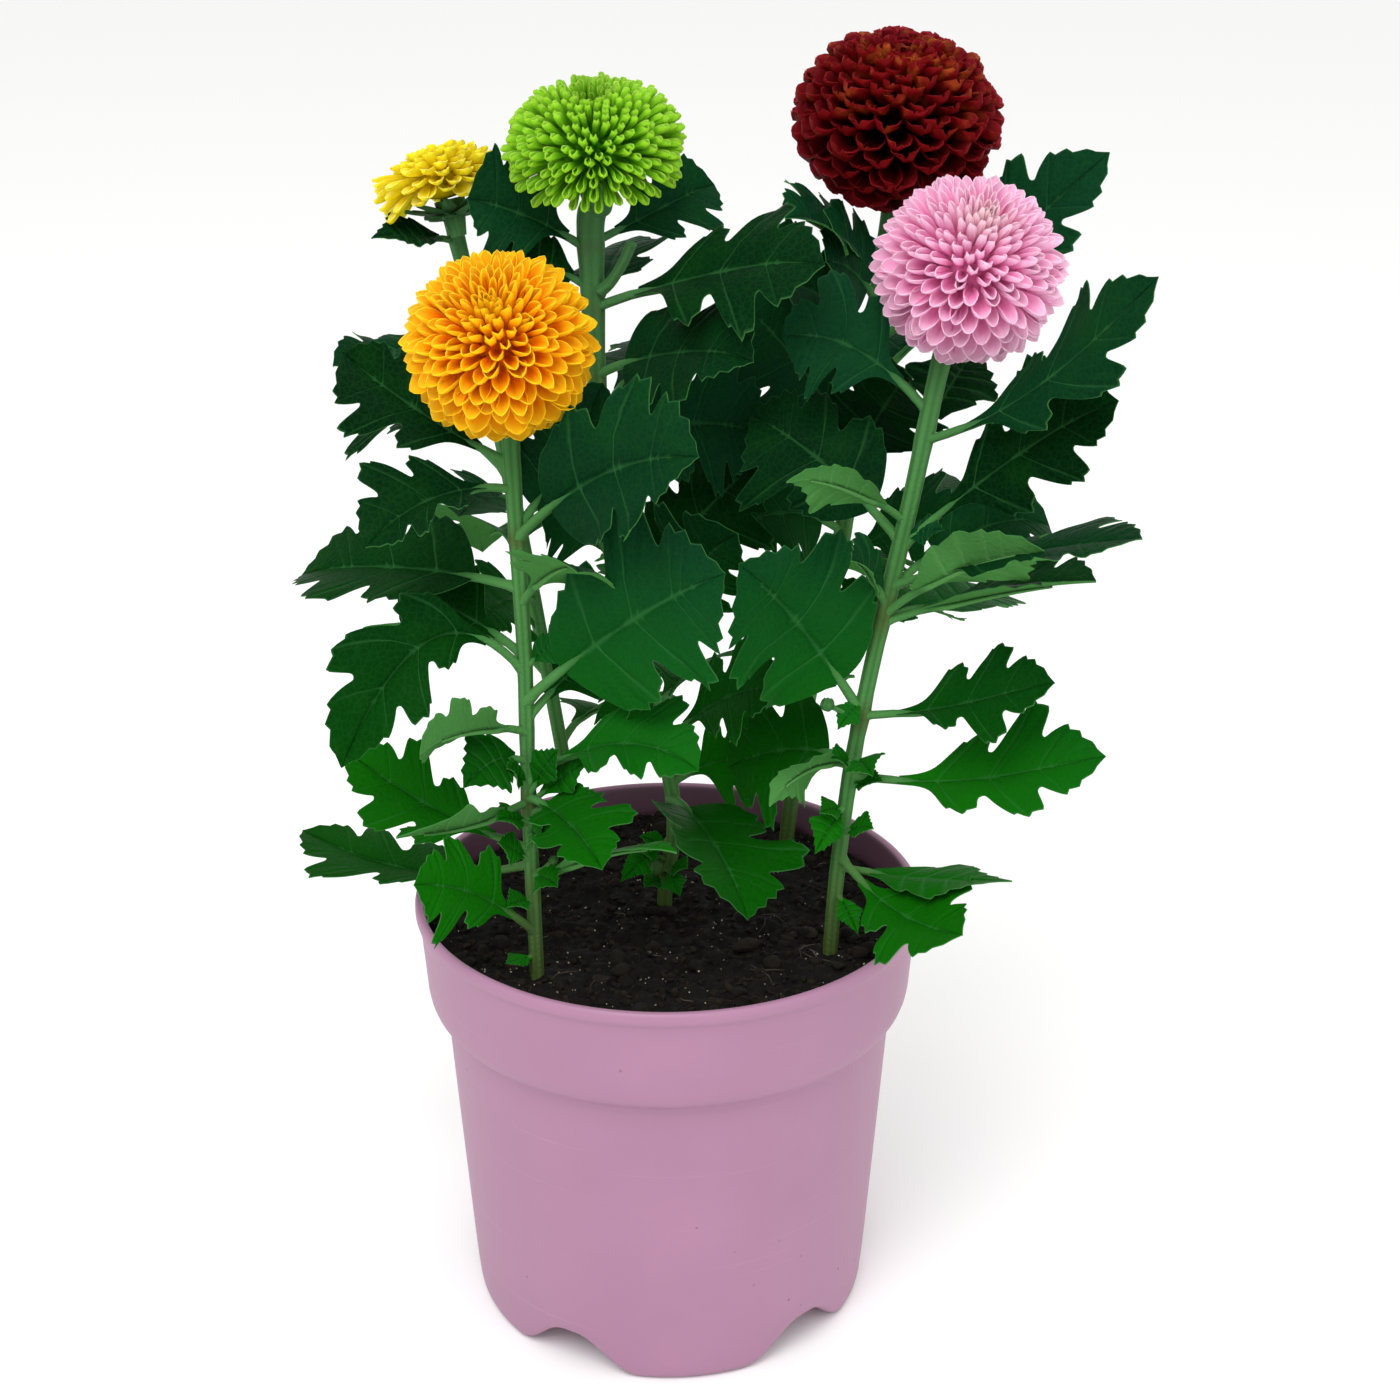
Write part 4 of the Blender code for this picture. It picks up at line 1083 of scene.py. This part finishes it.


# the colours of the throat, the inside, the rim, the back, the foot of the back and the heart
# of the head; then how strong the rim is, how far out the heart reaches and how even it is
# The throat and the foot of the back are deeper colours that also carry painted shade of the gaps between
# the florets; on the red head they are nearly black.
TISSUES = {
    "orange": ("#FF8804", "#FFAC0A", "#FFCC1C", "#FFC414", "#FFA606", "#FFBC10", 0.75, 0.30, 0.5),
    "green": ("#3E8E0A", "#76BA14", "#98D038", "#84C420", "#52A20C", "#1C5008", 0.60, 0.36, 0.9),
    "pink": ("#FF98CC", "#F4A8D0", "#F3CEE2", "#F1B8D6", "#FFA4D2", "#E6C4BC", 0.60, 0.34, 0.5),
    "red": ("#1A0000", "#460102", "#921A22", "#580406", "#280001", "#963810", 0.36, 0.90, 0.0),
    "yellow": ("#ECCC00", "#F4DC1C", "#F6EA80", "#F0DA1C", "#F0D614", "#EED618", 0.60, 0.30, 0.5),
}


def petal_tissue(name, throat, inside, rim, back, back_foot, heart, rim_share, heart_reach, even):
    """Petal tissue: soft, matt, slightly velvety, deeper in the throat, where painted shade of the
    gaps between florets is added, paler at the thin rim, with fine lengthwise streaks and a
    different colour on the back."""
    material, shader = start_material(
        name, Roughness=0.6, Specular_IOR_Level=0.03, Subsurface_Weight=0.5,
        Subsurface_Radius=(1.0, 1.0, 1.0), Subsurface_Scale=0.0016)
    spot = add_node(material, "TexCoord", take="Object")
    blotches = add_node(material, "TexNoise", {"Vector": spot, "Scale": 230.0, "Detail": 2.0})
    streaks = add_node(material, "TexNoise", {"Vector": spot, "Scale": 700.0, "Detail": 2.0})
    side, along, over, age, tone = [
        add_node(material, "Attribute", take="Fac", attribute_name=word)
        for word in ("inside", "along", "rim", "age", "tone")]
    lightness = add_node(material, "Math", {0: tone, 1: streaks}, operation="ADD")
    depth, tip, young, patchy, value = [
        add_node(material, "MapRange", {
            "Value": source, "From Min": low, "From Max": high, "To Min": start, "To Max": end})
        for source, low, high, start, end in (
            (along, 0.55, 0.96, 0.0, 1.0), (along, 0.64, 1.0, 0.0, 1.0),
            (age, 0.0, heart_reach, 0.95, 0.0), (blotches, 0.52 - 0.5 * even, 0.66, even, 1.0),
            (lightness, 0.0, 2.0, 0.84, 1.16))]
    edge = add_node(material, "Math", {0: over, 1: 7.0}, operation="POWER")
    border = add_node(material, "Math", {0: edge, 1: 0.3}, operation="MULTIPLY")
    lip = add_node(material, "Math", {0: border, 1: tip}, operation="MAXIMUM")
    lip_share = add_node(material, "Math", {0: lip, 1: rim_share}, operation="MULTIPLY")
    young_share = add_node(material, "Math", {0: young, 1: patchy}, operation="MULTIPLY")
    # Towards each floret's foot: deeper colour together with painted shade of the gaps between florets.
    bowl_with_throat_shade, back_with_foot_shade = [
        add_node(material, "Mix", {SHARE: depth, BASE: linear(foot), TOP: linear(end)}, data_type="RGBA")
        for foot, end in ((throat, inside), (back_foot, back))]
    front = add_node(material, "Mix", {SHARE: lip_share, BASE: bowl_with_throat_shade, TOP: linear(rim)}, data_type="RGBA")
    both = add_node(material, "Mix", {SHARE: side, BASE: back_with_foot_shade, TOP: front}, data_type="RGBA")
    aged = add_node(material, "Mix", {SHARE: young_share, BASE: both, TOP: linear(heart)}, data_type="RGBA")
    varied = add_node(material, "HueSaturation", {"Color": aged, "Value": value})
    bump = add_node(material, "Bump", {"Height": streaks, "Strength": 0.10, "Distance": 0.0004})
    finish_surface(material, shader, Base_Color=varied, Normal=bump)
    return material


def fill_heart(colour, centre, axes, radius, flat):
    """The dense middle of the head, where the florets grow from."""
    axis, side, other = axes
    heart = start_piece("heart", bpy.ops.mesh.primitive_uv_sphere_add, segments=24, ring_count=14, radius=1)
    form = points_of(heart)
    base = seat_level(colour)
    core = HEART_PART * radius
    level = np.where(form[:, 2] > 0, form[:, 2] * core * flat, -form[:, 2] * base)
    level = np.maximum(level, base)
    point = (centre + side * (form[:, 0] * core)[:, None] + other * (form[:, 1] * core)[:, None]
             + axis * level[:, None])
    move_points(heart, point * MM)
    # Along 0 gives the heart the throat colour, painted shade included, with some of the heart colour in
    # patches.
    mark(heart, inside=1.0, along=0.0, rim=0.0, age=0.6, tone=0.2)
    return heart


strip_blank = cut_floret("floret_strip")
for order, (colour, form) in enumerate(FLORETS.items()):
    draw = random.Random(80 + order)
    centre, tilt, lean, radius, flat = HEADS[colour]
    centre, axes = np.array(centre, float), head_axes(tilt, lean)
    angles = floret_angles(*form["apart"], form["lowest"], radius, flat)
    florets = [fill_heart(colour, centre, axes, radius, flat)]
    for number, polar in enumerate(angles):
        florets.append(roll_floret(strip_blank, colour, polar, GOLDEN_TURN * number, draw))
    head = join(florets)
    head.name = "flower_head_" + colour
    coat(head, petal_tissue(colour + "_petal", *TISSUES[colour]), 60)
    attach(head, "root")
    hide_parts("bloom_" + colour)
for blank in (strip_blank, bract_blank):
    bpy.data.objects.remove(blank)

# Studio: a plain pale floor, a broad soft light from above in front, a fill from the left and
# the camera, which looks down on the plant by 22.7 degrees from half a metre away.
floor = start_piece("studio_floor", bpy.ops.mesh.primitive_plane_add, size=14, location=(0, 3, 0))
settle(floor)
paper, paper_shader = start_material("pale_paper", Roughness=0.9, Base_Color=linear("#F4F4F3"))
floor.data.materials.append(paper)

PLANT_MIDDLE = Vector((0, 0, 0.18))
for name, place, size, power in (("key", (-0.28, -0.95, 1.45), 0.9, 16),
                                 ("fill", (0.95, -0.75, 0.75), 0.8, 2)):
    lamp = start_piece(name, bpy.ops.object.light_add, type="AREA", location=place)
    lamp.data.size = size
    lamp.data.energy = power
    lamp.rotation_euler = (PLANT_MIDDLE - Vector(place)).to_track_quat("-Z", "Y").to_euler()
sky = bpy.data.worlds.new("studio_white")
sky.use_nodes = True
background = sky.node_tree.nodes["Background"]
background.inputs["Color"].default_value = (1, 1, 1, 1)
background.inputs["Strength"].default_value = 1.0
bpy.context.scene.world = sky
bpy.context.scene.view_settings.view_transform = "Standard"

camera = start_piece("camera", bpy.ops.object.camera_add,
                     location=(0.0082, -0.5332, 0.3908), rotation=(math.radians(67.3), 0, 0))
camera.data.lens = 59.6
camera.data.sensor_width = 36
camera.data.clip_start = 0.01
bpy.context.scene.camera = camera
